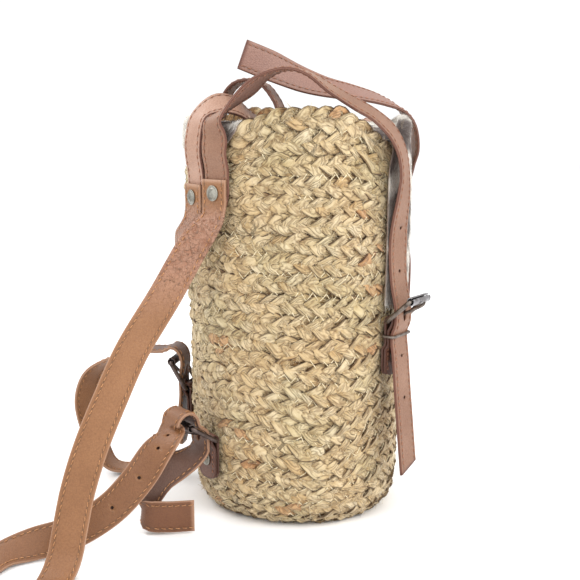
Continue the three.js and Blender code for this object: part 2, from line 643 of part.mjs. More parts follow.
add('closing_strap_left', cut(strip([
  ...closingBackEnd(BACK.left, BACK.rivetLeft),
  mouthStation(-85, -65.5, -5, [-0.35, 0.93, 0]),
  mouthStation(-71, -64, 8, [0.2, 0.96, -0.15]),
  mouthStation(-54, -65, 22, [0.5, 0.85, -0.2]),
  mouthStation(-41, -67, 32, [0.35, 0.93, -0.1]),
  mouthStation(-26, -70, 37, [0.2, 0.98, 0]),
  mouthStation(-10, -73, 34, [0.25, 0.97, 0.1]),
  mouthStation(10, -77, 21, [0.4, 0.9, 0.2]),
  mouthStation(29, -81, 9.5, [0.5, 0.83, 0.2]),
  mouthStation(45, -84.5, 0, [0.5, 0.83, 0.2]),
  mouthStation(58.5, -87.5, -13, [0.5, 0.83, 0.2]),
  mouthStation(66, -90.5, -29, [0.5, 0.85, 0.15]),
  mouthStation(68.5, -91.5, -45, [0.52, 0.85, 0.1]),
  mouthStation(68.5, -90.5, -61, [0.6, 0.8, 0]),
  ...closingThroughBuckle(frontLeft, FRONT.left).slice(1),
  siteStation(frontLeft, FRONT.left, tabClear + 1, -FRONT_TAB.rivetDrop, 1),
  siteStation(frontLeft, FRONT.left, tabClear + 3.5, -FRONT_TAB.rivetDrop - 28, 1),
  siteStation(frontLeft, FRONT.left, tabClear + 6.5, -FRONT_TAB.rivetDrop - 58, 1),
  siteStation(frontLeft, FRONT.left, tabClear + 9.5, -FRONT_TAB.rivetDrop - 88, 1),
  siteStation(frontLeft, FRONT.left, tabClear + 10.5, -FRONT_TAB.rivetDrop - 97, 1),
], STRAP_WIDTH, STRAP_THICKNESS, 66), backHoleLeft, frontLeft.prongHole, ...frontLeft.punches), LEATHER);

add('closing_strap_right', cut(strip([
  ...closingBackEnd(BACK.right, BACK.rivetRight),
  mouthStation(-93, -35, -2, [-0.3, 0.95, 0.1]),
  mouthStation(-82, -30, 6.5, [-0.2, 0.88, 0.4]),
  mouthStation(-70, -25, 10, [-0.1, 0.78, 0.6]),
  mouthStation(-58, -20, 7.5, [-0.07, 0.78, 0.6]),
  mouthStation(-45, -15, -1.5, [-0.07, 0.86, 0.48]),
  mouthStation(-28, -9, -9, [-0.1, 0.95, 0.25]),
  mouthStation(-5, 0, -11.5, [-0.2, 0.97, 0.05]),
  mouthStation(22, 10.5, -11.5, [-0.25, 0.96, 0]),
  mouthStation(50, 21, -9.5, [-0.3, 0.95, 0]),
  mouthStation(70, 28.5, -6.5, [-0.37, 0.93, 0]),
  mouthStation(80, 32.5, -3.5, [-0.42, 0.9, 0]),
  { at: wallPoint(FRONT.right, rimHeight(FRONT.right) + 3, overFlap - 0.4), across: wallRun(FRONT.right) },
  ...closingThroughBuckle(frontRight, FRONT.right),
  siteStation(frontRight, FRONT.right, tabClear, -FRONT_TAB.rivetDrop + 2, 1),
  siteStation(frontRight, FRONT.right, tabClear + 3, -FRONT_TAB.rivetDrop - 7, 1),
  siteStation(frontRight, FRONT.right, tabClear + 9, -FRONT_TAB.rivetDrop - 10, 1),
  siteStation(frontRight, FRONT.right, tabClear + 15, -FRONT_TAB.rivetDrop - 4, 1),
  siteStation(frontRight, FRONT.right, 29.5, -10, 1),
  siteStation(frontRight, FRONT.right, 31, 14, 1),
  siteStation(frontRight, FRONT.right, 30.5, 34, 1),
  siteStation(frontRight, FRONT.right, 26, 54, 1),
  mouthStation(104.5, 25, -87, [-0.25, 0.96, 0]),
  mouthStation(105, 20, -62, [-0.1, 0.99, 0]),
  mouthStation(108.5, 15, -44, [0, 1, 0]),
  mouthStation(111, 10, -29, [0.05, 1, 0]),
  mouthStation(106, 5, -8, [0.03, 0.99, 0.1]),
  mouthStation(94, 0, 5.5, [-0.05, 0.97, 0.2]),
  mouthStation(74, -6, 14, [-0.08, 0.9, 0.38]),
  mouthStation(48, -14, 20, [-0.05, 0.85, 0.5]),
  mouthStation(23, -20, 24, [0, 0.75, 0.65]),
  mouthStation(-4, -26, 31, [0, 0.5, 0.85]),
  mouthStation(-30, -30, 41, [0, 0.25, 0.97]),
  mouthStation(-55, -31, 50.5, [0.1, 0.1, 1], 0.95),
], STRAP_WIDTH, STRAP_THICKNESS, 94), backHoleRight, frontRight.prongHole), LEATHER);

// Through a lower buckle the strap comes over the roller from outside and down over the heel bar.
function shoulderThroughBuckle(place, degrees, turn) {
  const rollerOut = place.heelOut + BUCKLE_LENGTH * Math.sin(place.tiltAngle);
  const rollerUp = BUCKLE_LENGTH * Math.cos(place.tiltAngle);
  const wrap = ROLLER_RADIUS + ROLLER_BEND_ROOM + STRAP_THICKNESS / 2;
  const outerWrap = wrap + 2 * PRONG_RADIUS + OUTER_BEND_ROOM;
  return [
    siteStation(place, degrees, rollerOut + outerWrap, rollerUp - 1, turn),
    siteStation(place, degrees, rollerOut + outerWrap * 0.72, rollerUp + outerWrap * 0.72, turn),
    siteStation(place, degrees, rollerOut, rollerUp + outerWrap, turn),
    siteStation(place, degrees, rollerOut - wrap * 0.72, rollerUp + wrap * 0.9, turn),
    siteStation(place, degrees, rollerOut - wrap, rollerUp, turn),
    siteStation(place, degrees, place.strapOut + 0.4, 8, turn),
    siteStation(place, degrees, place.strapOut + 0.2, 0, turn),
    siteStation(place, degrees, place.strapOut + 0.2, -8, turn),
  ];
}

add('shoulder_strap_left', cut(strip([
  wallStation(BACK.left, BACK.rivetLeft + 11, shoulderSeat, -1),
  wallStation(BACK.left, BACK.rivetLeft, shoulderSeat, -1),
  wallStation(BACK.left, BACK.rivetLeft - 9, shoulderSeat, -1),
  wallStation(BACK.left, BACK.rivetLeft - 20, shoulderSeat + 2.5, -1),
  mouthStation(-100.5, -67, -101, [-0.8, 0.45, 0.35]),
  mouthStation(-127, -77, -143, [-0.86, 0.25, 0.44]),
  station(-156, -95, 161, [-0.755, 0.154, 0.461]),
  station(-174, -108, 127, [-0.8, 0.16, 0.4]),
  station(-190, -119, 93, [-0.87, 0.18, 0.3]),
  station(-201, -127, 62, [-0.93, 0.19, 0.17]),
  station(-208, -133, 33, [-0.95, 0.2, 0.1]),
  station(-213, -140, 13, [-0.97, 0.2, 0.05]),
  station(-219, -152, 4, [-0.98, 0.2, 0]),
  station(-228, -168, 2.5, [-0.85, 0.5, 0]),
  station(-246, -177, 2.5, [-0.3, 0.95, 0]),
  station(-266, -170, 2.5, [0.45, 0.9, 0]),
  station(-277, -150, 2.5, [0.95, 0.3, 0]),
  station(-274, -127, 4, [0.9, -0.4, -0.1]),
  station(-259, -110, 8, [0.55, -0.75, -0.35]),
  station(-236, -104, 12, [0.45, -0.5, -0.6]),
  station(-212, -102, 16, [0.5, -0.3, -0.66]),
  station(-192, -100, 24, [0.65, -0.2, -0.63]),
  station(-172, -96, 36, [0.77, -0.17, -0.6]),
  station(-152, -89, 55, [0.8, -0.2, -0.55]),
  station(-138, -81, 72, [0.72, -0.55, -0.4]),
  station(-127, -73, 82, [0.52, -0.83, -0.15]),
  ...shoulderThroughBuckle(lowerLeft, LOWER.left, 1),
  station(-107, -55, 57, [0.6, -0.75, -0.25]),
  station(-119, -60, 52.5, [0.7, -0.45, -0.5]),
  station(-133, -63.5, 45, [0.65, -0.3, -0.65]),
  station(-143.5, -67, 33, [0.4, -0.15, -0.9]),
  station(-148.5, -71, 23, [0.1, 0, -1]),
  station(-145, -78, 17.5, [0, 0, -1]),
  station(-131, -81, 16, [0, 0, -1]),
  station(-107, -83, 16, [0, 0, -1]),
], STRAP_WIDTH, STRAP_THICKNESS, 92), backHoleLeft, lowerLeft.prongHole), LEATHER);

add('shoulder_strap_right', cut(strip([
  wallStation(BACK.right, BACK.rivetRight + 11, shoulderSeat, -1),
  wallStation(BACK.right, BACK.rivetRight, shoulderSeat, -1),
  wallStation(BACK.right, BACK.rivetRight - 9, shoulderSeat, -1),
  wallStation(BACK.right, BACK.rivetRight - 22, shoulderSeat + 2.5, -1),
  wallStation(187, BACK.rivetRight - 42, 9, -1),
  wallStation(167, BACK.rivetRight - 60, 10, -1),
  wallStation(147, BACK.rivetRight - 79, 10, -1),
  wallStation(134, BACK.rivetRight - 106, 9, -1),
  wallStation(131, 136, 9, -1),
  wallStation(132, 106, 11, -1),
  station(-87, 70, 72, [0.5, 0.85, 0]),
  station(-103, 69, 54, [0.4, 0.9, 0]),
  station(-120, 72, 34, [0.3, 0.95, 0]),
  station(-136, 77, 14, [0.25, 0.97, 0]),
  station(-150, 81, 5, [0.25, 0.97, 0]),
  station(-166, 84, 7, [0.35, 0.93, 0]),
  station(-179, 84, 26, [0.6, 0.78, 0.1]),
  station(-188, 79, 54, [0.75, 0.66, 0.1]),
  station(-191, 71, 83, [0.78, 0.62, 0]),
  station(-184, 66, 105, [0.65, 0.72, -0.2]),
  station(-168, 60, 119, [0.45, 0.87, -0.15]),
  station(-148, 52, 127, [0.36, 0.93, 0]),
  station(-132, 46, 130.5, [0.36, 0.93, 0]),
  ...shoulderThroughBuckle(lowerRight, LOWER.right, -1).slice(1),
  siteStation(lowerRight, LOWER.right, 13, -26, -1),
  siteStation(lowerRight, LOWER.right, 13, -48, -1),
  siteStation(lowerRight, LOWER.right, 13, -56, -1, 0.55),
], STRAP_WIDTH, STRAP_THICKNESS, 78), backHoleRight, lowerRight.prongHole), LEATHER);

// Carry handle with a riveted foot at each end on the flap

const handleFeet = { rear: { x: -76, y: 15 }, front: { x: -3, y: -39 } };
const handleAcross = [0.45, 0.89, 0];
const footRise = FLAP_THICKNESS / 2 + 4 * SEAT + STRAP_THICKNESS / 2;

// Direction square to the flap over the mouth.
function flapNormal(x, y) {
  const reach = HANDLE_WIDTH / 2;
  const slopeX = (flapHeight({ x: x + reach, y }) - flapHeight({ x: x - reach, y })) / (2 * reach);
  const slopeY = (flapHeight({ x, y: y + reach }) - flapHeight({ x, y: y - reach })) / (2 * reach);
  return new THREE.Vector3(-slopeX, -slopeY, 1).normalize();
}

function onFlap(x, y, rise) {
  const normal = flapNormal(x, y);
  const across = new THREE.Vector3(...handleAcross).projectOnPlane(normal);
  return { at: new THREE.Vector3(x, y, flapHeight({ x, y })).addScaledVector(normal, rise), across };
}

const handleHoles = [];
for (const [end, foot] of Object.entries(handleFeet)) {
  const site = new THREE.Group();
  site.position.set(foot.x, foot.y, flapHeight(foot));
  site.quaternion.setFromUnitVectors(new THREE.Vector3(0, 1, 0), flapNormal(foot.x, foot.y));
  site.updateMatrix();
  bag.add(site);
  const tailSeat = -FLAP_THICKNESS / 2 - 3 * SEAT;
  add(`handle_rivet_${end}`, rivet(footRise + STRAP_THICKNESS / 2 + 2 * SEAT, tailSeat), STEEL, site);
  handleHoles.push(rodOut(RIVET_HOLE_RADIUS, tailSeat * 3, footRise * 3).applyMatrix4(site.matrix));
}

add('hide_flap', cut(sheet(flapGrid, FLAP_THICKNESS), ...handleHoles), HIDE);
add('carry_handle', cut(strip([
  onFlap(handleFeet.rear.x - 6, handleFeet.rear.y + 3, footRise + 0.2),
  onFlap(handleFeet.rear.x, handleFeet.rear.y, footRise),
  onFlap(handleFeet.rear.x + 8, handleFeet.rear.y - 4, footRise + 0.2),
  mouthStation(-64.5, 8.5, 9, handleAcross),
  mouthStation(-61.5, 6.5, 19, handleAcross),
  mouthStation(-54, 2, 27.5, handleAcross),
  mouthStation(-43, -5, 30, handleAcross),
  mouthStation(-32, -13, 25, handleAcross),
  mouthStation(-24, -21, 13, handleAcross),
  mouthStation(-20, -26, 3, handleAcross),
  onFlap(handleFeet.front.x - 10, handleFeet.front.y + 5, footRise + 0.8),
  onFlap(handleFeet.front.x, handleFeet.front.y, footRise),
  onFlap(handleFeet.front.x + 10, handleFeet.front.y - 3, footRise),
], HANDLE_WIDTH, STRAP_THICKNESS, 32), ...handleHoles), LEATHER);

export default bag;
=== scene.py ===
"""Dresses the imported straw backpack: plaited straw, stitched leather, roller buckles and a hair-on hide flap.

Lengths are worked out in millimetres, in the part's own frame, and turned into metres as each mesh is made.
"""

import math

import bmesh
import bpy
import numpy as np
from mathutils import Matrix, Vector


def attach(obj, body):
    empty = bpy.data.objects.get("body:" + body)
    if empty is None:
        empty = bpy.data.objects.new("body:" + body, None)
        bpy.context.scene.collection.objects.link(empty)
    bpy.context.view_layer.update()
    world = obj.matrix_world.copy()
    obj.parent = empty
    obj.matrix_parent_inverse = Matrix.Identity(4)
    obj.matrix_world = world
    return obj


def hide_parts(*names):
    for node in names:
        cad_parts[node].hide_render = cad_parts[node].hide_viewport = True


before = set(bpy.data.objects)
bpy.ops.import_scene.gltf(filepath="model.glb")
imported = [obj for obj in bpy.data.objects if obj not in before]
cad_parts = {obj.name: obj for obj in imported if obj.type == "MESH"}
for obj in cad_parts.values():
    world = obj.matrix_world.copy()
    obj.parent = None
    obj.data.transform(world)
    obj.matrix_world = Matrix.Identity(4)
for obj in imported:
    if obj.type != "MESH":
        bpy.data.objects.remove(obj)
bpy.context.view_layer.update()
MM = 0.001

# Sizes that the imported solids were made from
BASKET_HEIGHT = 345
HALF_DEPTH_BACK = 101
HALF_DEPTH_FRONT = 96
HALF_WIDTH_LEFT = 105
HALF_WIDTH_RIGHT = 88
BASKET_WALL = 6
BASE_ROUNDING = 36
FLOOR_SHARE = 0.76
WAIST_SHARE = 0.955
RIM_SHARE = 0.97
SHOULDER_HEIGHT = 290
RIM_WAVE = 5
RIM_DIP_HALF_ANGLE = 36
SEAT = 0.3
FLAP_SEAT = 0.8
STRAP_WIDTH = 27
STRAP_THICKNESS = 3
HANDLE_WIDTH = 24
FLAP_THICKNESS = 2.5
TAB_THICKNESS = 2.4
RIVET_HEAD_RADIUS = 6.4
RIVET_HEAD_HEIGHT = 2.2
HEEL_BAR_RADIUS = 1.8
SIDE_BAR_RADIUS = 2
AXLE_RADIUS = 1.5
BUCKLE_LENGTH = 28
BUCKLE_SIDE_ROOM = 1.3
ROLLER_RADIUS = 3.75
PRONG_RADIUS = 1.4
PRONG_OVERHANG = 3.5
PRONG_EYE_WALL = 1.3
PRONG_SLOT_WIDTH = 5.8
PRONG_HOLE_ROOM = 6
ROLLER_BEND_ROOM = 3.8
OUTER_BEND_ROOM = 0.9
KEEPER_THICKNESS = 1.5
KEEPER_HEIGHT = 2.4
KEEPER_SIDE_ROOM = 0.6
SEEN_HOLE_RADIUS = 1.4
HOLE_FLOOR = 0.5
PUNCH_PITCH = 36
PUNCHES_EACH_WAY = 2
FRONT = {"left": -49, "right": 25, "heel": 176}
BACK = {"left": 217, "right": 201.5, "rivet_left": 283, "rivet_right": 278}
LOWER = {"left": 206, "right": 159.5, "heel_left": 72, "heel_right": 98}
RIM_DIPS = ((FRONT["left"], 24), (FRONT["right"], 8), (BACK["left"], 10), (BACK["right"], 3))
FRONT_TAB = {"length": 48, "rivet_drop": 31, "keeper_drop": 13}
LOWER_TAB = {"length": 37, "rivet_drop": 19, "keeper_drop": 0}
FRONT_LEAN = {"left": 48, "right": 28}
LOWER_LEAN = {"left": 58, "right": 30}
FLAP_BACK_HEM = 317
FLAP_FRONT_HEM = 188
FLAP_LEVEL = 339
FLAP_TROUGH = 13
FLAP_TROUGH_HALF_WIDTH = 15
FLAP_TROUGH_BANK = 15
FLAP_MOUTH_STEPS = 11
RIVET_TAIL_ROOM = 1.6
BOARD_THICKNESS = 2.5
FOAM_THICKNESS = 5
FOIL_THICKNESS = 1
LINER_BELOW_RIM = 15


# Camera, floor and light

CAMERA_TURN = 12
CAMERA_PITCH = 9.7
CAMERA_AWAY = 0.911
CAMERA_LEFT = 0.0076
CAMERA_HEIGHT = 0.345
SENSOR_WIDTH = 36
PHOTO_WIDTH = 580
FOCAL_LENGTH = 1020
WORLD_STRENGTH = 1.08
FLOOR_SIZE = 12
FLOOR_WHITE = 0.95
# Place, height of the point that it faces, side and power
LIGHTS = {
    "key": ((0.5, -1.2, 1.8), 0.2, 1.3, 20),
    "front": ((1.4, -0.7, 0.8), 0.18, 1.1, 9),
    "fill": ((-1.5, -0.9, 1.1), 0.2, 1.2, 8),
    "back": ((-0.9, 0.7, 1.5), 0.25, 0.9, 14)}


def make_camera():
    turn, pitch = math.radians(CAMERA_TURN), math.radians(CAMERA_PITCH)
    toward = Vector((-math.sin(turn), -math.cos(turn), 0))
    right = Vector((math.cos(turn), -math.sin(turn), 0))
    forward = -toward * math.cos(pitch) - Vector((0, 0, math.sin(pitch)))
    up = right.cross(forward)
    eye = toward * CAMERA_AWAY - right * CAMERA_LEFT + Vector((0, 0, CAMERA_HEIGHT))
    data = bpy.data.cameras.new("camera")
    data.sensor_width = SENSOR_WIDTH
    data.lens = SENSOR_WIDTH * FOCAL_LENGTH / PHOTO_WIDTH
    data.clip_start = 0.05
    camera = bpy.data.objects.new("camera", data)
    camera.matrix_world = Matrix.Translation(eye) @ Matrix((right, up, -forward)).transposed().to_4x4()
    bpy.context.scene.collection.objects.link(camera)
    bpy.context.scene.camera = camera


def make_light(name, place, aim_height, side, power):
    data = bpy.data.lights.new(name, "AREA")
    data.shape = "RECTANGLE"
    data.size = data.size_y = side
    data.energy = power
    light = bpy.data.objects.new(name, data)
    light.location = place
    light.rotation_euler = (Vector((0, 0, aim_height)) - Vector(place)).to_track_quat("-Z", "Y").to_euler()
    bpy.context.scene.collection.objects.link(light)


def make_stage():
    scene = bpy.context.scene
    scene.view_settings.view_transform = "Standard"
    scene.world = bpy.data.worlds.new("studio")
    scene.world.use_nodes = True
    background = scene.world.node_tree.nodes["Background"]
    background.inputs["Color"].default_value = (1, 1, 1, 1)
    background.inputs["Strength"].default_value = WORLD_STRENGTH
    bpy.ops.mesh.primitive_plane_add(size=FLOOR_SIZE)
    floor = bpy.context.object
    floor.name = "floor"
    white = bpy.data.materials.new("floor_white")
    white.use_nodes = True
    shader = white.node_tree.nodes["Principled BSDF"]
    shader.inputs["Base Color"].default_value = (FLOOR_WHITE, FLOOR_WHITE, FLOOR_WHITE, 1)
    shader.inputs["Roughness"].default_value = 0.8
    floor.data.materials.append(white)
    for name, settings in LIGHTS.items():
        make_light(name, *settings)


make_camera()
make_stage()


# Meshes from rings of points


class Shape:
    """Gathers closed bodies, in millimetres, into one mesh with point values."""

    def __init__(self):
        self.points, self.quads, self.tris, self.values, self.count = [], [], [], [], 0

    def add(self, points, quads=(), tris=(), **values):
        points = np.asarray(points, float).reshape(-1, 3)
        quads = np.asarray(quads, int).reshape(-1, 4)
        tris = np.asarray(tris, int).reshape(-1, 3)
        split = np.concatenate([quads[:, [0, 1, 2]], quads[:, [0, 2, 3]], tris])
        a, b, c = (points[split[:, i]] - points.mean(0) for i in range(3))
        if np.einsum("ij,ij->i", a, np.cross(b, c)).sum() < 0:
            quads, tris = quads[:, ::-1], tris[:, ::-1]
        self.points.append(points)
        self.quads.append(quads + self.count)
        self.tris.append(tris + self.count)
        self.values.append((len(points), values))
        self.count += len(points)

    def tube(self, rings, closed=False, **values):
        """Rings of points with the same count, joined in a loop or capped at both ends."""
        rings = np.asarray(rings, float)
        steps, sides = rings.shape[:2]
        grid = np.arange(steps * sides).reshape(steps, sides)
        here, there = (grid, np.roll(grid, -1, 0)) if closed else (grid[:-1], grid[1:])
        beside, beyond = np.roll(here, -1, 1), np.roll(there, -1, 1)
        quads = np.stack([here, beside, beyond, there], -1).reshape(-1, 4)
        points, tris = rings.reshape(-1, 3), []
        values = {key: value.reshape(steps * sides, *value.shape[2:]) for key, value in values.items()}
        if not closed:
            points = np.concatenate([points, [rings[0].mean(0), rings[-1].mean(0)]])
            first, last = steps * sides, steps * sides + 1
            next_side = np.roll(grid, -1, 1)
            tris = np.concatenate([
                np.stack([np.full(sides, first), next_side[0], grid[0]], -1),
                np.stack([np.full(sides, last), grid[-1], next_side[-1]], -1)])
            values = {key: np.concatenate([value, value[:1], value[-1:]]) for key, value in values.items()}
        self.add(points, quads, tris, **values)

    def build(self, name, materials, smooth=True, sharp=None):
        points = np.concatenate(self.points) * MM
        quads, tris = np.concatenate(self.quads), np.concatenate(self.tris)
        mesh = bpy.data.meshes.new(name)
        mesh.vertices.add(len(points))
        mesh.vertices.foreach_set("co", points.astype(np.float32).ravel())
        mesh.loops.add(quads.size + tris.size)
        mesh.loops.foreach_set("vertex_index", np.concatenate([quads.ravel(), tris.ravel()]).astype(np.int32))
        mesh.polygons.add(len(quads) + len(tris))
        starts = np.concatenate([np.arange(len(quads)) * 4, quads.size + np.arange(len(tris)) * 3])
        mesh.polygons.foreach_set("loop_start", starts.astype(np.int32))
        for key in sorted({key for _, values in self.values for key in values}):
            value = np.concatenate([np.asarray(values[key], float) for _, values in self.values])
            kind, field = ("FLOAT_VECTOR", "vector") if value.ndim > 1 else ("FLOAT", "value")
            layer = mesh.attributes.new(key, kind, "POINT")
            layer.data.foreach_set(field, value.astype(np.float32).ravel())
        mesh.update(calc_edges=True)
        mesh.validate()
        mesh.polygons.foreach_set("use_smooth", np.full(len(mesh.polygons), smooth))
        for material in materials:
            mesh.materials.append(material)
        piece = bpy.data.objects.new(name, mesh)
        bpy.context.scene.collection.objects.link(piece)
        if sharp:
            mark_sharp(mesh, sharp)
        return piece


def mark_sharp(mesh, degrees):
    work = bmesh.new()
    work.from_mesh(mesh)
    limit = math.radians(degrees)
    for edge in work.edges:
        edge.smooth = len(edge.link_faces) == 2 and edge.calc_face_angle(0) < limit
    work.to_mesh(mesh)
    work.free()


def unit(v):
    return v / np.maximum(np.linalg.norm(v, axis=-1, keepdims=True), 1e-12)


def smooth_step(x, low, high):
    t = np.clip((np.asarray(x, float) - low) / (high - low), 0, 1)
    return t * t * (3 - 2 * t)


def mix(a, b, t):
    return a + (b - a) * t


def soft_noise(x, seed, period=None):
    """Smooth random value from -1 to 1 along x, one new value at each whole number."""
    table = np.random.default_rng(seed).uniform(-1, 1, 512)
    whole = np.floor(x).astype(int)
    t = smooth_step(x - whole, 0, 1)
    wrap = period or 512
    return mix(table[whole % wrap % 512], table[(whole + 1) % wrap % 512], t)


# Curves as the solids use them

def spline(points, places):
    """Centripetal curve through the points, at places from 0 to 1."""
    points = np.asarray(points, float)
    last = len(points) - 1
    padded = np.concatenate([[2 * points[0] - points[1]], points, [2 * points[-1] - points[-2]]])
    place = np.clip(np.asarray(places, float), 0, 1) * last
    whole = np.minimum(place.astype(int), last - 1)
    t = (place - whole)[:, None]
    p0, p1, p2, p3 = (padded[whole + i] for i in range(4))
    gap = [np.sqrt(np.linalg.norm(b - a, axis=1))[:, None] for a, b in ((p0, p1), (p1, p2), (p2, p3))]
    d1 = np.where(gap[1] < 1e-4, 1, gap[1])
    d0 = np.where(gap[0] < 1e-4, d1, gap[0])
    d2 = np.where(gap[2] < 1e-4, d1, gap[2])
    m1 = ((p1 - p0) / d0 - (p2 - p0) / (d0 + d1) + (p2 - p1) / d1) * d1
    m2 = ((p2 - p1) / d1 - (p3 - p1) / (d1 + d2) + (p3 - p2) / d2) * d1
    return p1 + m1 * t + (-3 * p1 + 3 * p2 - 2 * m1 - m2) * t**2 + (2 * p1 - 2 * p2 + m1 + m2) * t**3


# Basket surface

def section(z):
    z = np.asarray(z, float)
    below = np.clip(1 - z / BASE_ROUNDING, 0, 1)
    low = mix(FLOOR_SHARE, WAIST_SHARE, np.sqrt(1 - below**2))
    middle = mix(WAIST_SHARE, 1, smooth_step(z, BASE_ROUNDING, SHOULDER_HEIGHT))
    high = mix(1, RIM_SHARE, smooth_step(z, SHOULDER_HEIGHT, BASKET_HEIGHT))
    return np.where(z < BASE_ROUNDING, low, np.where(z > SHOULDER_HEIGHT, high, middle))


def half_width(degrees):
    return np.where(np.sin(np.radians(degrees)) < 0, HALF_WIDTH_LEFT, HALF_WIDTH_RIGHT)


def half_depth(degrees):
    return np.where(np.cos(np.radians(degrees)) < 0, HALF_DEPTH_BACK, HALF_DEPTH_FRONT)


def wall_normal(degrees):
    angle = np.radians(np.asarray(degrees, float))
    along_x, along_y = np.cos(angle) / half_depth(degrees), np.sin(angle) / half_width(degrees)
    return unit(np.stack([along_x, along_y, np.zeros_like(angle)], -1))


def wall_run(degrees):
    return np.cross([0, 0, 1], wall_normal(degrees))


def wall_point(degrees, z, out=0):
    degrees, z, out = np.broadcast_arrays(*(np.asarray(v, float) for v in (degrees, z, out)))
    angle, share = np.radians(degrees), section(z)
    flat = np.stack([
        half_depth(degrees) * share * np.cos(angle), half_width(degrees) * share * np.sin(angle), z], -1)
    return flat + wall_normal(degrees) * out[..., None]


def rim_height(degrees):
    degrees = np.asarray(degrees, float)
    height = BASKET_HEIGHT - RIM_WAVE * np.cos(2 * np.radians(degrees))
    for centre, depth in RIM_DIPS:
        away = np.abs((degrees - centre + 180) % 360 - 180)
        dip = np.cos(np.minimum(away / RIM_DIP_HALF_ANGLE, 1) * np.pi / 2) ** 2
        height = height - depth * dip
    return height


# Line up the basket from the centre of its floor to its rim, by length along it
MEAN_RADIUS = (HALF_DEPTH_BACK + HALF_DEPTH_FRONT + HALF_WIDTH_LEFT + HALF_WIDTH_RIGHT) / 4
LINE_TOP = 400
FLOOR_SAMPLES = 59
line_heights = np.concatenate([
    np.linspace(0, 1, 40) ** 2 * BASE_ROUNDING, np.linspace(BASE_ROUNDING, LINE_TOP, 800)[1:]])
line_shares = np.concatenate([np.linspace(0, FLOOR_SHARE, FLOOR_SAMPLES + 1)[:-1], section(line_heights)])
line_heights = np.concatenate([np.zeros(FLOOR_SAMPLES), line_heights])
line_steps = np.hypot(np.diff(line_shares) * MEAN_RADIUS, np.diff(line_heights))
line_lengths = np.concatenate([[0], np.cumsum(line_steps)])
RIM_LENGTH = float(np.interp(BASKET_HEIGHT, line_heights[FLOOR_SAMPLES:], line_lengths[FLOOR_SAMPLES:]))


def surface(degrees, length, out):
    """Point on the basket at an angle, a length up from the middle of its floor and a distance out."""
    degrees, length, out = np.broadcast_arrays(*(np.asarray(v, float) for v in (degrees, length, out)))

    def flat(deg, along):
        share = np.interp(along, line_lengths, line_shares)
        height = np.interp(along, line_lengths, line_heights)
        angle = np.radians(deg)
        return np.stack([
            half_depth(deg) * share * np.cos(angle), half_width(deg) * share * np.sin(angle), height], -1)

    round_it = flat(degrees + 0.5, length) - flat(degrees - 0.5, length)
    up_it = flat(degrees, length + 1.5) - flat(degrees, np.maximum(length - 1.5, 0.1))
    normal = unit(np.cross(unit(round_it), unit(up_it)))
    return flat(degrees, length) + normal * out[..., None], normal


# Materials

WHITE, BLACK = (1, 1, 1), (0, 0, 0)


def srgb(red, green, blue):
    def linear(v):
        v = v / 255
        return v / 12.92 if v <= 0.04045 else ((v + 0.055) / 1.055) ** 2.4
    return (linear(red), linear(green), linear(blue))


def shaded(colour, share):
    return tuple(share * level for level in colour)


class Finish:
    """A new material, with short ways to add nodes to it."""

    def __init__(self, name):
        self.made = bpy.data.materials.new(name)
        self.made.use_nodes = True
        self.tree = self.made.node_tree
        self.place = self.node("TexCoord").outputs["Object"]

    def put(self, socket, value):
        if isinstance(value, bpy.types.NodeSocket):
            self.tree.links.new(value, socket)
        elif socket.type == "RGBA":
            socket.default_value = (*value, 1)
        else:
            socket.default_value = value

    def node(self, kind, inputs=None, **settings):
        made = self.tree.nodes.new("ShaderNode" + kind)
        for key, value in settings.items():
            setattr(made, key, value)
        for key, value in (inputs or {}).items():
            self.put(made.inputs[key], value)
        return made

    def ramp(self, factor, *stops):
        """Colour or grey level by factor, from pairs of a place and a colour or level."""
        made = self.node("ValToRGB", {"Fac": factor})
        elements = made.color_ramp.elements
        while len(elements) < len(stops):
            elements.new(0.5)
        for element, (place, colour) in zip(elements, stops):
            element.position = place
            element.color = (*colour, 1) if np.ndim(colour) else (colour, colour, colour, 1)
        return made.outputs["Color"]

    def attribute(self, name, output="Fac"):
        return self.node("Attribute", attribute_name=name).outputs[output]

    def blend(self, factor, first, second, how="MIX"):
        return self.node("Mix", {0: factor, 6: first, 7: second}, data_type="RGBA", blend_type=how).outputs[2]

    def tint(self, factor, first, second):
        return self.blend(factor, first, second, "MULTIPLY")

    def times(self, first, second):
        return self.node("Math", {0: first, 1: second}, operation="MULTIPLY").outputs[0]

    def noise(self, scale, detail, vector=None, roughness=0.5, output="Fac"):
        """Noise of one scale, or of one scale for each of x, y and z."""
        vector = self.place if vector is None else vector
        if isinstance(scale, tuple):
            vector, scale = self.node("Mapping", {"Vector": vector, "Scale": scale}).outputs["Vector"], 1.0
        return self.node("TexNoise", {
            "Vector": vector, "Scale": scale, "Detail": detail, "Roughness": roughness}).outputs[output]

    def cells(self, scale, feature="F1", vector=None):
        vector = self.place if vector is None else vector
        made = self.node("TexVoronoi", {"Vector": vector, "Scale": scale}, feature=feature)
        return made.outputs["Distance"]

    def bump(self, height, distance, strength=1.0, under=None):
        inputs = {"Height": height, "Distance": distance, "Strength": strength}
        if under is not None:
            inputs["Normal"] = under
        return self.node("Bump", inputs).outputs["Normal"]

    def finish(self, colour, roughness, normal, **others):
        """Sets the shader's inputs. An input's name is written here with _ for each space."""
        shader = self.tree.nodes["Principled BSDF"]
        for key, value in {"Base_Color": colour, "Roughness": roughness, "Normal": normal, **others}.items():
            self.put(shader.inputs[key.replace("_", " ")], value)
        return self.made


FOLD_PLACES = (0.425, 0.51, 0.595)
FOLD_REACH = 0.025


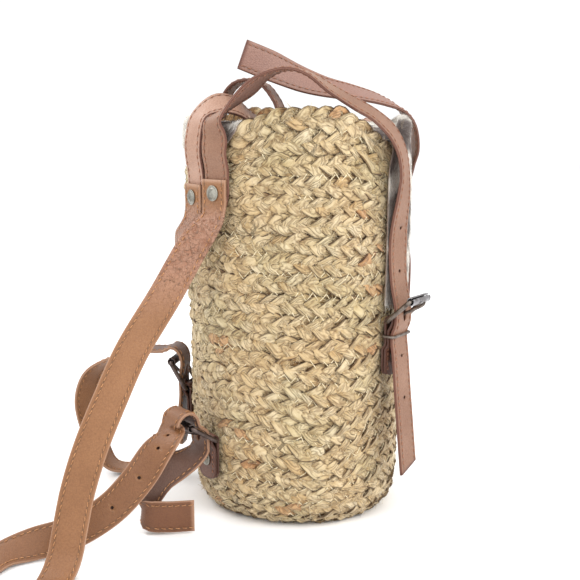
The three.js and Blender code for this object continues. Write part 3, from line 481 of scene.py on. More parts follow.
def straw_material():
    straw = Finish("plaited_straw")
    fibre = straw.attribute("fibre", "Vector")
    streak = straw.noise((110, 620, 400), 5, fibre, 0.65)
    fine = straw.noise((200, 2600, 900), 3, fibre, 0.6)
    folds = straw.noise((55, 260, 300), 2, fibre, 0.4)
    cloud = straw.noise(26, 3, roughness=0.55)
    colour = straw.ramp(
        straw.attribute("tone"), (0.0, srgb(219, 204, 175)), (0.3, srgb(212, 195, 163)),
        (0.62, srgb(206, 187, 153)), (0.82, srgb(224, 213, 189)), (0.93, srgb(203, 179, 141)),
        (1.0, srgb(204, 166, 128)))
    hue = straw.ramp(cloud, (0.36, srgb(246, 248, 243)), (0.5, WHITE), (0.64, srgb(255, 249, 242)))
    colour = straw.tint(1.0, colour, hue)
    lines = straw.ramp(
        streak, (0.32, srgb(168, 148, 118)), (0.5, srgb(236, 230, 216)), (0.7, srgb(255, 253, 248)))
    colour = straw.tint(0.85, colour, lines)
    # Thin dark lines along noise folds: painted shade in the creases of the straw, which also bump the surface.
    crease = straw.ramp(folds, *[
        (place + step * FOLD_REACH, WHITE if step else srgb(134, 104, 70))
        for place in FOLD_PLACES for step in (-1, 0, 1)])
    colour = straw.tint(0.5, colour, crease)
    # Darker towards each strand's edges, where it turns down into the crevices: painted shade.
    side = straw.ramp(straw.attribute("rim"), (0.62, WHITE), (0.95, srgb(126, 92, 60)))
    colour = straw.tint(0.9, colour, side)
    shade = straw.ramp(
        straw.attribute("depth"), (0.0, WHITE), (0.5, srgb(250, 243, 228)), (0.85, srgb(170, 138, 100)))
    colour = straw.tint(0.9, colour, shade)
    relief = straw.bump(crease, 0.0007, under=straw.bump(streak, 0.0016))
    return straw.finish(
        colour, straw.ramp(streak, (0.2, 0.75), (0.8, 0.55)), straw.bump(fine, 0.0004, under=relief),
        Specular_IOR_Level=0.3, Sheen_Weight=0.15)


def thread_material(name, light, dark):
    thread = Finish(name)
    spots = thread.noise(700, 3)
    return thread.finish(thread.ramp(spots, (0.3, dark), (0.65, light)), 0.7, thread.bump(spots, 0.0002))


def leather_material(name, face, shade, edge, under, wrinkled=False):
    leather = Finish(name)
    cloud = leather.noise(22, 5, roughness=0.6)
    fleck = leather.noise(900, 4, roughness=0.6)
    cells = leather.cells(900, "SMOOTH_F1")
    colour = leather.blend(leather.ramp(cloud, (0.3, BLACK), (0.7, WHITE)), face, shade)
    colour = leather.tint(0.3, colour, leather.ramp(fleck, (0.35, srgb(196, 180, 170)), (0.6, WHITE)))
    colour = leather.tint(0.35, colour, leather.ramp(cells, (0.25, WHITE), (0.75, srgb(196, 172, 160))))
    # Darker over part of a strap's length, as much as the darkening value says.
    darkened = leather.tint(1.0, colour, srgb(196, 176, 162))
    colour = leather.blend(leather.attribute("worn"), colour, darkened)
    back = leather.blend(leather.ramp(fleck, (0.3, BLACK), (0.7, WHITE)), under, shaded(under, 0.7))
    # seam darkens the stitch groove as painted shade; back is the underside's colour and edge the edge colour.
    for value, other in (("back", back), ("seam", shaded(face, 0.3)), ("edge", edge)):
        colour = leather.blend(leather.attribute(value), colour, other)
    relief = leather.bump(leather.cells(1900), 0.00012, 0.7, leather.bump(cells, 0.00035, 0.8))
    if wrinkled:
        height = leather.node("SeparateXYZ", {"Vector": leather.place}).outputs["Z"]
        near_rivet = leather.ramp(height, (0.185, BLACK), (0.225, WHITE), (0.262, WHITE), (0.275, BLACK))
        bent = leather.blend(0.012, leather.place, leather.noise(120, 3, roughness=0.6, output="Color"))
        pebbles = leather.times(leather.cells(300, "SMOOTH_F1", bent), near_rivet)
        relief = leather.bump(pebbles, -0.005, under=relief)
        # Darker in the hollows of the wrinkles: painted shade.
        valleys = leather.ramp(pebbles, (0.35, WHITE), (0.75, srgb(206, 182, 168)))
        creased = leather.tint(1.0, srgb(174, 132, 112), valleys)
        colour = leather.blend(leather.times(near_rivet, 0.6), colour, creased)
    return leather.finish(
        colour, leather.ramp(cloud, (0.25, 0.42), (0.75, 0.58)), leather.bump(cloud, 0.0006, 0.6, relief),
        Specular_IOR_Level=0.45)


def metal_material(name, light, dark, smoothest, roughest):
    metal = Finish(name)
    tarnish = metal.noise(160, 5, roughness=0.65)
    scratch = metal.noise((2600, 300, 2600), 3, roughness=0.6)
    colour = metal.ramp(tarnish, (0.35, dark), (0.62, light))
    colour = metal.tint(0.3, colour, metal.ramp(scratch, (0.4, srgb(120, 112, 106)), (0.6, WHITE)))
    return metal.finish(
        colour, metal.ramp(tarnish, (0.3, roughest), (0.7, smoothest)), metal.bump(scratch, 0.00008),
        Metallic=1.0)


STRAW = straw_material()
STRAW_THREAD = thread_material("straw_thread", srgb(238, 226, 194), srgb(196, 176, 132))
LEATHER_THREAD = thread_material("tan_thread", srgb(196, 143, 96), srgb(142, 94, 60))
BROWN_THREAD = thread_material("brown_thread", srgb(170, 118, 92), srgb(120, 78, 58))
DYED_EDGE, STRAP_BACK = srgb(92, 50, 36), srgb(150, 112, 98)
STRAP_LEATHER = leather_material(
    "strap_leather", srgb(147, 110, 87), srgb(131, 94, 72), DYED_EDGE, STRAP_BACK)
# Lighter copy of the strap leather for the right closing strap, whose top faces the light: painted light.
TOP_LIT_LEATHER = leather_material(
    "top_lit_strap_leather", srgb(178, 142, 122), srgb(160, 123, 102), DYED_EDGE, STRAP_BACK)
# The shoulder straps' edge colour, lighter than their face, is a painted highlight on the rounded turned edge.
SHOULDER_LEATHER = leather_material(
    "shoulder_leather", srgb(149, 105, 68), srgb(132, 90, 55), srgb(160, 122, 96), srgb(104, 74, 60), True)
RAW_BROWN = srgb(84, 52, 40)
RAW_LEATHER = leather_material("raw_leather", srgb(110, 70, 52), RAW_BROWN, RAW_BROWN, RAW_BROWN)
# The tab leather is darker than the straps' as painted shade, for the tabs sit under the straps.
TAB_LEATHER = leather_material(
    "tab_leather", srgb(118, 80, 64), srgb(98, 64, 50), srgb(70, 40, 30), srgb(84, 56, 44))
DARK_STEEL = metal_material("dark_steel", srgb(112, 100, 96), srgb(66, 56, 54), 0.34, 0.55)
GUNMETAL = metal_material("gunmetal", srgb(138, 128, 120), srgb(84, 74, 68), 0.3, 0.5)
BRUSHED = metal_material("worn_steel", srgb(164, 162, 165), srgb(106, 100, 98), 0.26, 0.44)
RIVET_METAL = metal_material("rivet_metal", srgb(170, 168, 158), srgb(112, 108, 100), 0.35, 0.55)


# Plaited straw

ROW_PITCH = 15.8
PLAIT_LENGTH = 37
PLAIT_REACH = 5.1
STRAND_HALF_WIDTH = 5.2
STRAND_HALF_THICKNESS = 1.05
PLAIT_CREST = 0.95
STRAND_SIDES = 10
STEPS_PER_PLAIT = 18
FLOOR_GAP = 0.05
RIM_FOLLOW = 120
# Rise, waves round the basket, start and length for one radian up the wall
HAND_WAVES = ((2.6, 2, 0.7, 60), (2.2, 3, 0, -43), (1.4, 5, 0, 29))
SAG_DEPTH = 17
SAG_ANGLE = -86
SAG_SPREAD = 27
SAG_FROM = (70, 190)
SAG_TO = (215, 345)
CALM_FLOOR = (70, 150)
CALM_RIM = (60, 10)
# How much each strand varies from crossing to crossing, and what is added to its seed for that
VARIES = {"reach": (0.1, 0), "across": (1.1, 300), "fat": (0.3, 500), "lift": (0.6, 900),
          "turn": (0.7, 1300), "roll": (0.34, 1700)}
TONE_REACH = 0.86
# Drawn number above which a crossing has an odd tone, and that tone
RARE_TONES = ((0.93, 0.93), (0.975, 1.0))
CREVICE_START = -0.6
CREVICE_DEPTH = 3.4
FIBRE_RING = 14


def row_place(degrees, length):
    """Length up the basket once the rows are bent by the rim's waves and by hand work."""
    dip = rim_height(degrees) - BASKET_HEIGHT
    share = smooth_step(length, RIM_LENGTH - RIM_FOLLOW, RIM_LENGTH)
    wave = sum(rise * np.sin(count * np.radians(degrees) + start + length / per)
               for rise, count, start, per in HAND_WAVES)
    sag = np.exp(-(((degrees - SAG_ANGLE + 180) % 360 - 180) / SAG_SPREAD) ** 2)
    wave = wave - SAG_DEPTH * sag * smooth_step(length, *SAG_FROM) * (1 - smooth_step(length, *SAG_TO))
    calm = smooth_step(length, *CALM_FLOOR)
    calm = calm * (1 - smooth_step(length, RIM_LENGTH - CALM_RIM[0], RIM_LENGTH - CALM_RIM[1]))
    return length + dip * share + wave * calm


def bulge(degrees, length):
    angle = np.radians(degrees)
    lump = 0.9 * np.sin(3 * angle + length / 37) * np.sin(length / 31 + 1)
    lump = lump + 0.7 * np.sin(7 * angle - length / 23)
    return lump * smooth_step(length, 60, 120) - 0.7


def around_at(length):
    return 2 * math.pi * np.interp(length, line_lengths, line_shares) * MEAN_RADIUS


def plait_row(shape, row, middle, loose):
    """Three strands that cross each other all the way round, with each crossing a little different."""
    around = around_at(middle)
    plaits = max(2, round(around / PLAIT_LENGTH))
    lobes = 2 * plaits
    turn = np.linspace(0, 1, plaits * STEPS_PER_PLAIT, endpoint=False)
    start = (row * 97) % 360
    for strand in range(3):
        phase = 2 * math.pi * (turn * plaits + strand / 3)
        count = (phase + math.pi / 4) / math.pi
        seed = 1000 + row * 3 + strand

        def vary(what, later=0.0):
            most, shift = VARIES[what]
            return most * soft_noise(count + later, seed + shift, lobes)

        fat = 1 + vary("fat")
        reach = PLAIT_REACH * (1 + 0.12 * loose) * (1 + vary("reach"))
        across = reach * np.sin(phase) + vary("across", 0.5)
        crest = PLAIT_CREST * (1 + 0.7 * loose)
        out = -BASKET_WALL / 2 + 0.1 + crest * np.sin(2 * phase) + vary("lift")
        degrees = start + 360 * turn + vary("turn")
        length = row_place(degrees, middle + across)
        here, normal = surface(degrees, length, out + bulge(degrees, length))
        ahead = unit(np.roll(here, -1, 0) - np.roll(here, 1, 0))
        side = unit(np.cross(normal, ahead))
        face = np.cross(ahead, side)
        roll = 0.3 * np.sin(phase * 2 + 0.9) * np.sign(np.cos(phase)) + vary("roll")
        side, face = (
            side * np.cos(roll)[:, None] + face * np.sin(roll)[:, None],
            face * np.cos(roll)[:, None] - side * np.sin(roll)[:, None])
        ring = 2 * math.pi * (np.arange(STRAND_SIDES) + 0.5) / STRAND_SIDES
        crease = 1 - 0.08 * np.abs(np.sin(ring * 2.5 + seed))
        wide = STRAND_HALF_WIDTH * np.sign(np.cos(ring)) * np.abs(np.cos(ring)) ** 0.75 * crease
        thick = STRAND_HALF_THICKNESS * np.sign(np.sin(ring)) * np.abs(np.sin(ring)) ** 0.5 * crease
        points = here[:, None] + side[:, None] * (wide[None] * fat[:, None])[..., None] \
            + face[:, None] * (thick[None] * fat[:, None])[..., None]
        points[..., 2] = np.maximum(points[..., 2], FLOOR_GAP)
        # How deep each point lies behind the strands' faces, which the straw's material turns into painted
        # shade in the crevices.
        depth = np.clip((CREVICE_START - (out[:, None] + thick[None])) / CREVICE_DEPTH, 0, 1)
        tones = np.random.default_rng(seed).beta(1.6, 2.2, lobes) * TONE_REACH
        odd = np.random.default_rng(seed + 77).uniform(0, 1, lobes)
        for limit, tone in RARE_TONES:
            tones = np.where(odd > limit, tone, tones)

        def spread(values):
            return np.broadcast_to(values, depth.shape)

        along, aside, own = (turn * around)[:, None], ring / (2 * math.pi) * FIBRE_RING, (seed % 97) * 13.0
        fibre = np.stack([spread(along), spread(aside), spread(own)], -1) * MM
        # rim tells how near a point is to a strand's edge, which the material darkens as painted shade.
        shape.tube(points, closed=True, tone=spread(tones[np.floor(count).astype(int) % lobes][:, None]),
                   depth=depth, fibre=fibre, rim=spread(np.abs(np.cos(ring)) ** 3))


row_count = round(RIM_LENGTH / ROW_PITCH)
pitch = RIM_LENGTH / row_count
bands = {"straw_floor": (0, 6), "straw_low": (6, 13), "straw_middle": (13, 20), "straw_high": (20, row_count)}
straw_pieces = []
for name, (low, high) in bands.items():
    rows = Shape()
    for row in range(low, high):
        plait_row(rows, row, (row + 0.5) * pitch, 1.0 if row == row_count - 1 else 0.0)
    straw_pieces.append(rows.build(name, [STRAW]))


CORE_FROM = 6
CORE_BELOW_RIM = 8
# The core gets a fixed depth, so it is darkened as painted shade behind the plaits.
CORE_DEPTH = 0.8
CORE_TONE = 0.4


def straw_core():
    """Plain cup behind the plaits, so that nothing shows through them."""
    turns = np.linspace(0, 360, 96, endpoint=False)
    ups = np.linspace(CORE_FROM, RIM_LENGTH - CORE_BELOW_RIM, 60)
    rings = [surface(turns, row_place(turns, up), -BASKET_WALL / 2 - 1 + bulge(turns, up))[0] for up in ups]
    rings += [surface(turns, row_place(turns, up), -BASKET_WALL + 0.5)[0] for up in ups[::-1]]
    size = (len(rings), len(turns))
    core = Shape()
    core.tube(rings, depth=np.full(size, CORE_DEPTH), tone=np.full(size, CORE_TONE))
    return core.build("straw_core", [STRAW])


straw_pieces.append(straw_core())
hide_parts("basket_body")


FIBRE_LIFT = (0.05, 0.45)
FIBRE_HALF_WIDTH = (0.13, 0.27)
FIBRE_TONES = (0.0, 0.25, 0.82, 0.82, 0.5)


def loose_fibres(name, count, low, high, reach, seed):
    """Thin straw ends that stand off the plaits between two lengths up the basket."""
    draw = np.random.default_rng(seed)
    degrees, length = draw.uniform(0, 360, count), draw.uniform(low, high, count)
    length = row_place(degrees, length)
    root, normal = surface(degrees, length, -BASKET_WALL / 2 + 0.9 + bulge(degrees, length))
    round_it = unit(np.cross([0, 0, 1.0], normal))
    up_it = np.cross(normal, round_it)
    turn = draw.uniform(0, 2 * math.pi, count)[:, None]
    way = unit(round_it * np.cos(turn) * 0.7 + up_it * np.sin(turn))
    size = draw.gamma(3.0, reach / 3, count)[:, None]
    lift = draw.uniform(*FIBRE_LIFT, count)[:, None] * np.minimum(size, 9)
    bend = draw.normal(0, 0.25, count)[:, None] * size
    half = draw.uniform(*FIBRE_HALF_WIDTH, count)[:, None]
    side = unit(np.cross(way, normal))
    rings = []
    for t, wide in ((0, 1.0), (0.5, 0.9), (1, 0.35)):
        centre = root + way * size * t + normal * (lift * t**1.5 + 0.2) + side * bend * t * t
        aside, above = side * half * wide, normal * half * wide * 1.3
        rings.append(np.stack([centre + aside, centre - aside, centre + above], 1))
    rings = np.stack(rings, 1).reshape(count, 9, 3)
    rings[..., 2] = np.maximum(rings[..., 2], FLOOR_GAP)
    faces = []
    for step in (0, 3):
        for i, j in ((0, 1), (1, 2), (2, 0)):
            faces += [[step + i, step + 3 + i, step + 3 + j], [step + i, step + 3 + j, step + j]]
    faces += [[0, 1, 2], [6, 8, 7]]
    tris = (np.arange(count)[:, None, None] * 9 + np.array(faces)[None]).reshape(-1, 3)
    along = np.tile(np.repeat([0, 0.5, 1], 3), count) * 9
    fibre = np.stack([along, np.zeros(count * 9), np.repeat(draw.uniform(0, 900, count), 9)], -1) * MM
    tone = np.repeat(draw.choice(FIBRE_TONES, count), 9)
    body = Shape()
    body.add(rings, (), tris, tone=tone, depth=np.zeros(count * 9), fibre=fibre)
    return body.build(name, [STRAW], smooth=False)


# Number, lowest and highest place up the basket, mean length and seed
FIBRE_BANDS = {
    "straw_fibres_low": (8500, 60, RIM_LENGTH * 0.55, 4.6, 41),
    "straw_fibres_high": (8500, RIM_LENGTH * 0.55, RIM_LENGTH - 6, 4.8, 42),
    "straw_fibres_rim": (3000, RIM_LENGTH - 16, RIM_LENGTH - 1, 4.6, 43)}
for name, settings in FIBRE_BANDS.items():
    straw_pieces.append(loose_fibres(name, *settings))


def circle(first, second, sides):
    """Ring of ways round a line, one ring for each row of the two ways across it."""
    turn = 2 * math.pi * np.arange(sides) / sides
    return first[..., None, :] * np.cos(turn)[:, None] + second[..., None, :] * np.sin(turn)[:, None]


THREAD_RADIUS = 0.36
STITCH_STEP = 5.2
STITCH_SHOWS = 0.12
STITCH_SWING = (2.6, 4.6)
STITCH_RUN = (0.8, 1.5)


def sewing(name, low, high, seed):
    """Light thread that zigzags over the joints of the rows, showing here and there."""
    body = Shape()
    draw = np.random.default_rng(seed)
    t = np.linspace(0, 1, 5)
    rise = 1.25 + 0.75 * np.sin(math.pi * t) - 1.6 * (np.abs(2 * t - 1) > 0.95)
    for row in range(low, high):
        middle = (row + 1) * pitch
        count = int(around_at(middle) / STITCH_STEP)
        shown = soft_noise(np.arange(count) / 9.0 + row * 5.3, seed) + 0.35 * draw.uniform(-1, 1, count)
        for index in np.nonzero(shown > STITCH_SHOWS)[0]:
            degrees = 360 * index / count + t * 360 / count * draw.uniform(*STITCH_RUN)
            swing = draw.uniform(*STITCH_SWING) * (1 if index % 2 else -1)
            length = row_place(degrees, middle + swing * (1 - 2 * t) + draw.normal(0, 0.5))
            here, normal = surface(degrees, length, -BASKET_WALL / 2 + rise + bulge(degrees, length))
            ahead = unit(np.gradient(here, axis=0))
            side = unit(np.cross(normal, ahead))
            body.tube(here[:, None] + THREAD_RADIUS * circle(side, np.cross(ahead, side), 5))
    return body.build(name, [STRAW_THREAD])


straw_pieces.append(sewing("straw_sewing", 4, row_count - 1, 61))
for piece in straw_pieces:
    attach(piece, "bag")


# Sites on the wall, and the buckles on them

class Site:
    """Place on the wall: x runs sideways, y points out and z up."""

    def __init__(self, degrees, z):
        self.degrees, self.z = degrees, z
        self.origin = wall_point(degrees, z)
        self.out = wall_normal(degrees)
        self.up = np.array([0.0, 0.0, 1.0])
        self.sideways = np.cross(self.out, self.up)

    def at(self, x, y, z):
        return self.origin + self.sideways * x + self.out * y + self.up * z

    def wall_out(self, up):
        return float((wall_point(self.degrees, self.z + up) - self.origin) @ self.out)


class Buckle:
    def __init__(self, degrees, z, tilt, tab, keeper):
        self.site, self.tab, self.tilt = Site(degrees, z), tab, math.radians(tilt)
        self.stand = KEEPER_THICKNESS + 2 * SEAT if keeper else SEAT
        self.inner = SEAT + TAB_THICKNESS / 2
        self.fold = HEEL_BAR_RADIUS + SEAT + TAB_THICKNESS / 2
        self.back_layer = self.stand + TAB_THICKNESS / 2
        self.layer_step = TAB_THICKNESS + SEAT
        self.heel_out = self.back_layer + self.fold
        self.front_layer = self.back_layer + self.layer_step
        self.fold_face = self.heel_out + self.fold + TAB_THICKNESS / 2
        self.strap_out = self.fold_face + SEAT + STRAP_THICKNESS / 2
        self.keeper_out = self.front_layer + TAB_THICKNESS / 2 + 2 * SEAT + STRAP_THICKNESS / 2
        self.rivet_seat = self.inner + self.layer_step + TAB_THICKNESS / 2 + SEAT
        self.rivet_face = self.rivet_seat + RIVET_HEAD_HEIGHT
        self.hole_up = (self.strap_out - self.heel_out) / math.tan(self.tilt) * 0.9
        self.half_width = STRAP_WIDTH / 2 + BUCKLE_SIDE_ROOM + SIDE_BAR_RADIUS

    def at(self, out, up, turn=1, wide=1.0):
        return (self.site.at(0, out, up), wall_run(self.site.degrees) * turn, wide)

    def leaning(self, x, y, z):
        """Point in the frame's own place: z runs from the heel bar to the roller, y away from the strap."""
        c, s = math.cos(self.tilt), math.sin(self.tilt)
        return self.site.at(x, self.heel_out + y * c + z * s, z * c - y * s)

    def tab_path(self):
        head_top = RIVET_HEAD_RADIUS + SEAT - self.tab["rivet_drop"]
        straight = head_top + (4 if self.tab["keeper_drop"] else 2)
        lows = [-self.tab["length"], -(self.tab["length"] + self.tab["rivet_drop"]) / 2,
                -self.tab["rivet_drop"], head_top]
        path = [(self.inner + self.site.wall_out(up), up) for up in lows]
        path += [(self.back_layer, straight), (self.back_layer, straight / 2)]
        for step in range(7):
            angle = math.pi * step / 6
            path.append((self.heel_out - self.fold * math.cos(angle), self.fold * math.sin(angle)))
        path.append((mix(self.heel_out + self.fold, self.front_layer, 0.45), -self.fold * 1.5))
        path += [(self.front_layer + SEAT / 2, -self.fold * 2.6), (self.front_layer, straight)]
        path += [(self.inner + self.layer_step + self.site.wall_out(up), up) for up in lows[::-1]]
        wide = [0.7] + [1.0] * (len(path) - 2) + [0.7]
        return [(self.site.at(0, out, up), self.site.sideways, w) for (out, up), w in zip(path, wide)]


buckles = {
    "front_left": Buckle(FRONT["left"], FRONT["heel"], FRONT_LEAN["left"], FRONT_TAB, True),
    "front_right": Buckle(FRONT["right"], FRONT["heel"], FRONT_LEAN["right"], FRONT_TAB, True),
    "lower_left": Buckle(LOWER["left"], LOWER["heel_left"], LOWER_LEAN["left"], LOWER_TAB, False),
    "lower_right": Buckle(LOWER["right"], LOWER["heel_right"], LOWER_LEAN["right"], LOWER_TAB, False),
}
front_left, front_right = buckles["front_left"], buckles["front_right"]
lower_left, lower_right = buckles["lower_left"], buckles["lower_right"]


# Straps. A station is a middle point, the strap's width direction and its share of the full width.

closing_seat = SEAT + STRAP_THICKNESS / 2
shoulder_seat = closing_seat + STRAP_THICKNESS + SEAT
flap_out = FLAP_SEAT + FLAP_THICKNESS / 2
over_flap = flap_out + FLAP_THICKNESS / 2 + SEAT + STRAP_THICKNESS / 2 + SEAT
tab_clear = front_left.rivet_face + SEAT + STRAP_THICKNESS / 2 + SEAT


def on_wall(degrees, z, out, turn, wide=1.0):
    return (wall_point(degrees, z, out), wall_run(degrees) * turn, wide)


def free(*rows):
    """Stations from rows of middle point, width direction and, where it isn't the whole, share of width."""
    return [(np.array(row[:3], float), np.array(row[3:6], float), *row[6:]) if len(row) > 6
            else (np.array(row[:3], float), np.array(row[3:], float), 1.0) for row in rows]


def closing_start(side):
    """Back end of a closing strap, from below its rivet up to the rim."""
    degrees, up = BACK[side], BACK["rivet_" + side]
    rows = [(up - 11, closing_seat, 0.8), (up, closing_seat), (up + 9, closing_seat),
            (up + 19, closing_seat + 0.5), (FLAP_BACK_HEM - 2, over_flap + 0.6),
            (float(rim_height(degrees)) - 4, over_flap + 0.8)]
    return [on_wall(degrees, z, out, -1, *wide) for z, out, *wide in rows]


def shoulder_start(side, last):
    """Upper end of a shoulder strap, over the closing strap's end and down to a last drop from the rivet."""
    rows = [(11, shoulder_seat), (0, shoulder_seat), (-9, shoulder_seat), (-last, shoulder_seat + 2.5)]
    return [on_wall(BACK[side], BACK["rivet_" + side] + up, out, -1) for up, out in rows]


def at_buckle(place, *rows):
    """Stations at a buckle, from rows of distance out, distance up, turn of the width and share of it."""
    return [place.at(*row) for row in rows]


def through_front(place):
    keeper = FRONT_TAB["keeper_drop"]
    return at_buckle(
        place, (over_flap + 2, 108), (over_flap + 2, 74), (over_flap + 2.5, 36), (place.strap_out - 0.6, 12),
        (place.strap_out + 0.1, 3), (place.strap_out - 0.6, -4),
        (place.keeper_out + 0.15, KEEPER_HEIGHT / 2 + 0.5 - keeper),
        (place.keeper_out, -keeper - KEEPER_HEIGHT / 2 - 2))


def through_lower(place, turn):
    roller_out = place.heel_out + BUCKLE_LENGTH * math.sin(place.tilt)
    roller_up = BUCKLE_LENGTH * math.cos(place.tilt)
    wrap = ROLLER_RADIUS + ROLLER_BEND_ROOM + STRAP_THICKNESS / 2
    outer = wrap + 2 * PRONG_RADIUS + OUTER_BEND_ROOM
    return at_buckle(
        place, (roller_out + outer, roller_up - 1, turn),
        (roller_out + outer * 0.72, roller_up + outer * 0.72, turn), (roller_out, roller_up + outer, turn),
        (roller_out - wrap * 0.72, roller_up + wrap * 0.9, turn), (roller_out - wrap, roller_up, turn),
        (place.strap_out + 0.4, 8, turn), (place.strap_out + 0.2, 0, turn), (place.strap_out + 0.2, -8, turn))


def mouth(*rows):
    """Stations whose third number is a rise over the top of the basket."""
    return free(*[(row[0], row[1], BASKET_HEIGHT + row[2], *row[3:]) for row in rows])


front_drop = FRONT_TAB["rivet_drop"]
stations = {
    "closing_strap_left": closing_start("left") + mouth(
        (-85, -65.5, -5, -0.35, 0.93, 0), (-71, -64, 8, 0.2, 0.96, -0.15), (-54, -65, 22, 0.5, 0.85, -0.2),
        (-41, -67, 32, 0.35, 0.93, -0.1), (-26, -70, 37, 0.2, 0.98, 0), (-10, -73, 34, 0.25, 0.97, 0.1),
        (10, -77, 21, 0.4, 0.9, 0.2), (29, -81, 9.5, 0.5, 0.83, 0.2), (45, -84.5, 0, 0.5, 0.83, 0.2),
        (58.5, -87.5, -13, 0.5, 0.83, 0.2), (66, -90.5, -29, 0.5, 0.85, 0.15),
        (68.5, -91.5, -45, 0.52, 0.85, 0.1),
        (68.5, -90.5, -61, 0.6, 0.8, 0)) + through_front(front_left)[1:] + at_buckle(
        front_left, (tab_clear + 1, -front_drop), (tab_clear + 3.5, -front_drop - 28),
        (tab_clear + 6.5, -front_drop - 58), (tab_clear + 9.5, -front_drop - 88),
        (tab_clear + 10.5, -front_drop - 97)),
    "closing_strap_right": closing_start("right") + mouth(
        (-93, -35, -2, -0.3, 0.95, 0.1), (-82, -30, 6.5, -0.2, 0.88, 0.4), (-70, -25, 10, -0.1, 0.78, 0.6),
        (-58, -20, 7.5, -0.07, 0.78, 0.6), (-45, -15, -1.5, -0.07, 0.86, 0.48),
        (-28, -9, -9, -0.1, 0.95, 0.25), (-5, 0, -11.5, -0.2, 0.97, 0.05),
        (22, 10.5, -11.5, -0.25, 0.96, 0), (50, 21, -9.5, -0.3, 0.95, 0),
        (70, 28.5, -6.5, -0.37, 0.93, 0), (80, 32.5, -3.5, -0.42, 0.9, 0)) + [
        on_wall(FRONT["right"], float(rim_height(FRONT["right"])) + 3, over_flap - 0.4, 1)]
    + through_front(front_right) + at_buckle(
        front_right, (tab_clear, -front_drop + 2), (tab_clear + 3, -front_drop - 7),
        (tab_clear + 9, -front_drop - 10), (tab_clear + 15, -front_drop - 4), (29.5, -10), (31, 14),
        (30.5, 34), (26, 54)) + mouth(
        (104.5, 25, -87, -0.25, 0.96, 0), (105, 20, -62, -0.1, 0.99, 0), (108.5, 15, -44, 0, 1, 0),
        (111, 10, -29, 0.05, 1, 0), (106, 5, -8, 0.03, 0.99, 0.1), (94, 0, 5.5, -0.05, 0.97, 0.2),
        (74, -6, 14, -0.08, 0.9, 0.38), (48, -14, 20, -0.05, 0.85, 0.5), (23, -20, 24, 0, 0.75, 0.65),
        (-4, -26, 31, 0, 0.5, 0.85), (-30, -30, 41, 0, 0.25, 0.97), (-55, -31, 50.5, 0.1, 0.1, 1, 0.95)),
    "shoulder_strap_left": shoulder_start("left", 20) + mouth(
        (-100.5, -67, -101, -0.8, 0.45, 0.35), (-127, -77, -143, -0.86, 0.25, 0.44)) + free(
        (-156, -95, 161, -0.755, 0.154, 0.461), (-174, -108, 127, -0.8, 0.16, 0.4),
        (-190, -119, 93, -0.87, 0.18, 0.3), (-201, -127, 62, -0.93, 0.19, 0.17),
        (-208, -133, 33, -0.95, 0.2, 0.1), (-213, -140, 13, -0.97, 0.2, 0.05),
        (-219, -152, 4, -0.98, 0.2, 0), (-228, -168, 2.5, -0.85, 0.5, 0), (-246, -177, 2.5, -0.3, 0.95, 0),
        (-266, -170, 2.5, 0.45, 0.9, 0), (-277, -150, 2.5, 0.95, 0.3, 0), (-274, -127, 4, 0.9, -0.4, -0.1),
        (-259, -110, 8, 0.55, -0.75, -0.35), (-236, -104, 12, 0.45, -0.5, -0.6),
        (-212, -102, 16, 0.5, -0.3, -0.66), (-192, -100, 24, 0.65, -0.2, -0.63),
        (-172, -96, 36, 0.77, -0.17, -0.6), (-152, -89, 55, 0.8, -0.2, -0.55),
        (-138, -81, 72, 0.72, -0.55, -0.4),
        (-127, -73, 82, 0.52, -0.83, -0.15)) + through_lower(lower_left, 1) + free(
        (-107, -55, 57, 0.6, -0.75, -0.25), (-119, -60, 52.5, 0.7, -0.45, -0.5),
        (-133, -63.5, 45, 0.65, -0.3, -0.65), (-143.5, -67, 33, 0.4, -0.15, -0.9),
        (-148.5, -71, 23, 0.1, 0, -1), (-145, -78, 17.5, 0, 0, -1),
        (-131, -81, 16, 0, 0, -1), (-107, -83, 16, 0, 0, -1)),
    "shoulder_strap_right": shoulder_start("right", 22) + [
        on_wall(187, BACK["rivet_right"] - 42, 9, -1), on_wall(167, BACK["rivet_right"] - 60, 10, -1),
        on_wall(147, BACK["rivet_right"] - 79, 10, -1), on_wall(134, BACK["rivet_right"] - 106, 9, -1),
        on_wall(131, 136, 9, -1), on_wall(132, 106, 11, -1)] + free(
        (-87, 70, 72, 0.5, 0.85, 0), (-103, 69, 54, 0.4, 0.9, 0), (-120, 72, 34, 0.3, 0.95, 0),
        (-136, 77, 14, 0.25, 0.97, 0), (-150, 81, 5, 0.25, 0.97, 0), (-166, 84, 7, 0.35, 0.93, 0),
        (-179, 84, 26, 0.6, 0.78, 0.1), (-188, 79, 54, 0.75, 0.66, 0.1), (-191, 71, 83, 0.78, 0.62, 0),
        (-184, 66, 105, 0.65, 0.72, -0.2), (-168, 60, 119, 0.45, 0.87, -0.15),
        (-148, 52, 127, 0.36, 0.93, 0),
        (-132, 46, 130.5, 0.36, 0.93, 0)) + through_lower(lower_right, -1)[1:] + at_buckle(
        lower_right, (13, -26, -1), (13, -48, -1), (13, -56, -1, 0.55)),
}


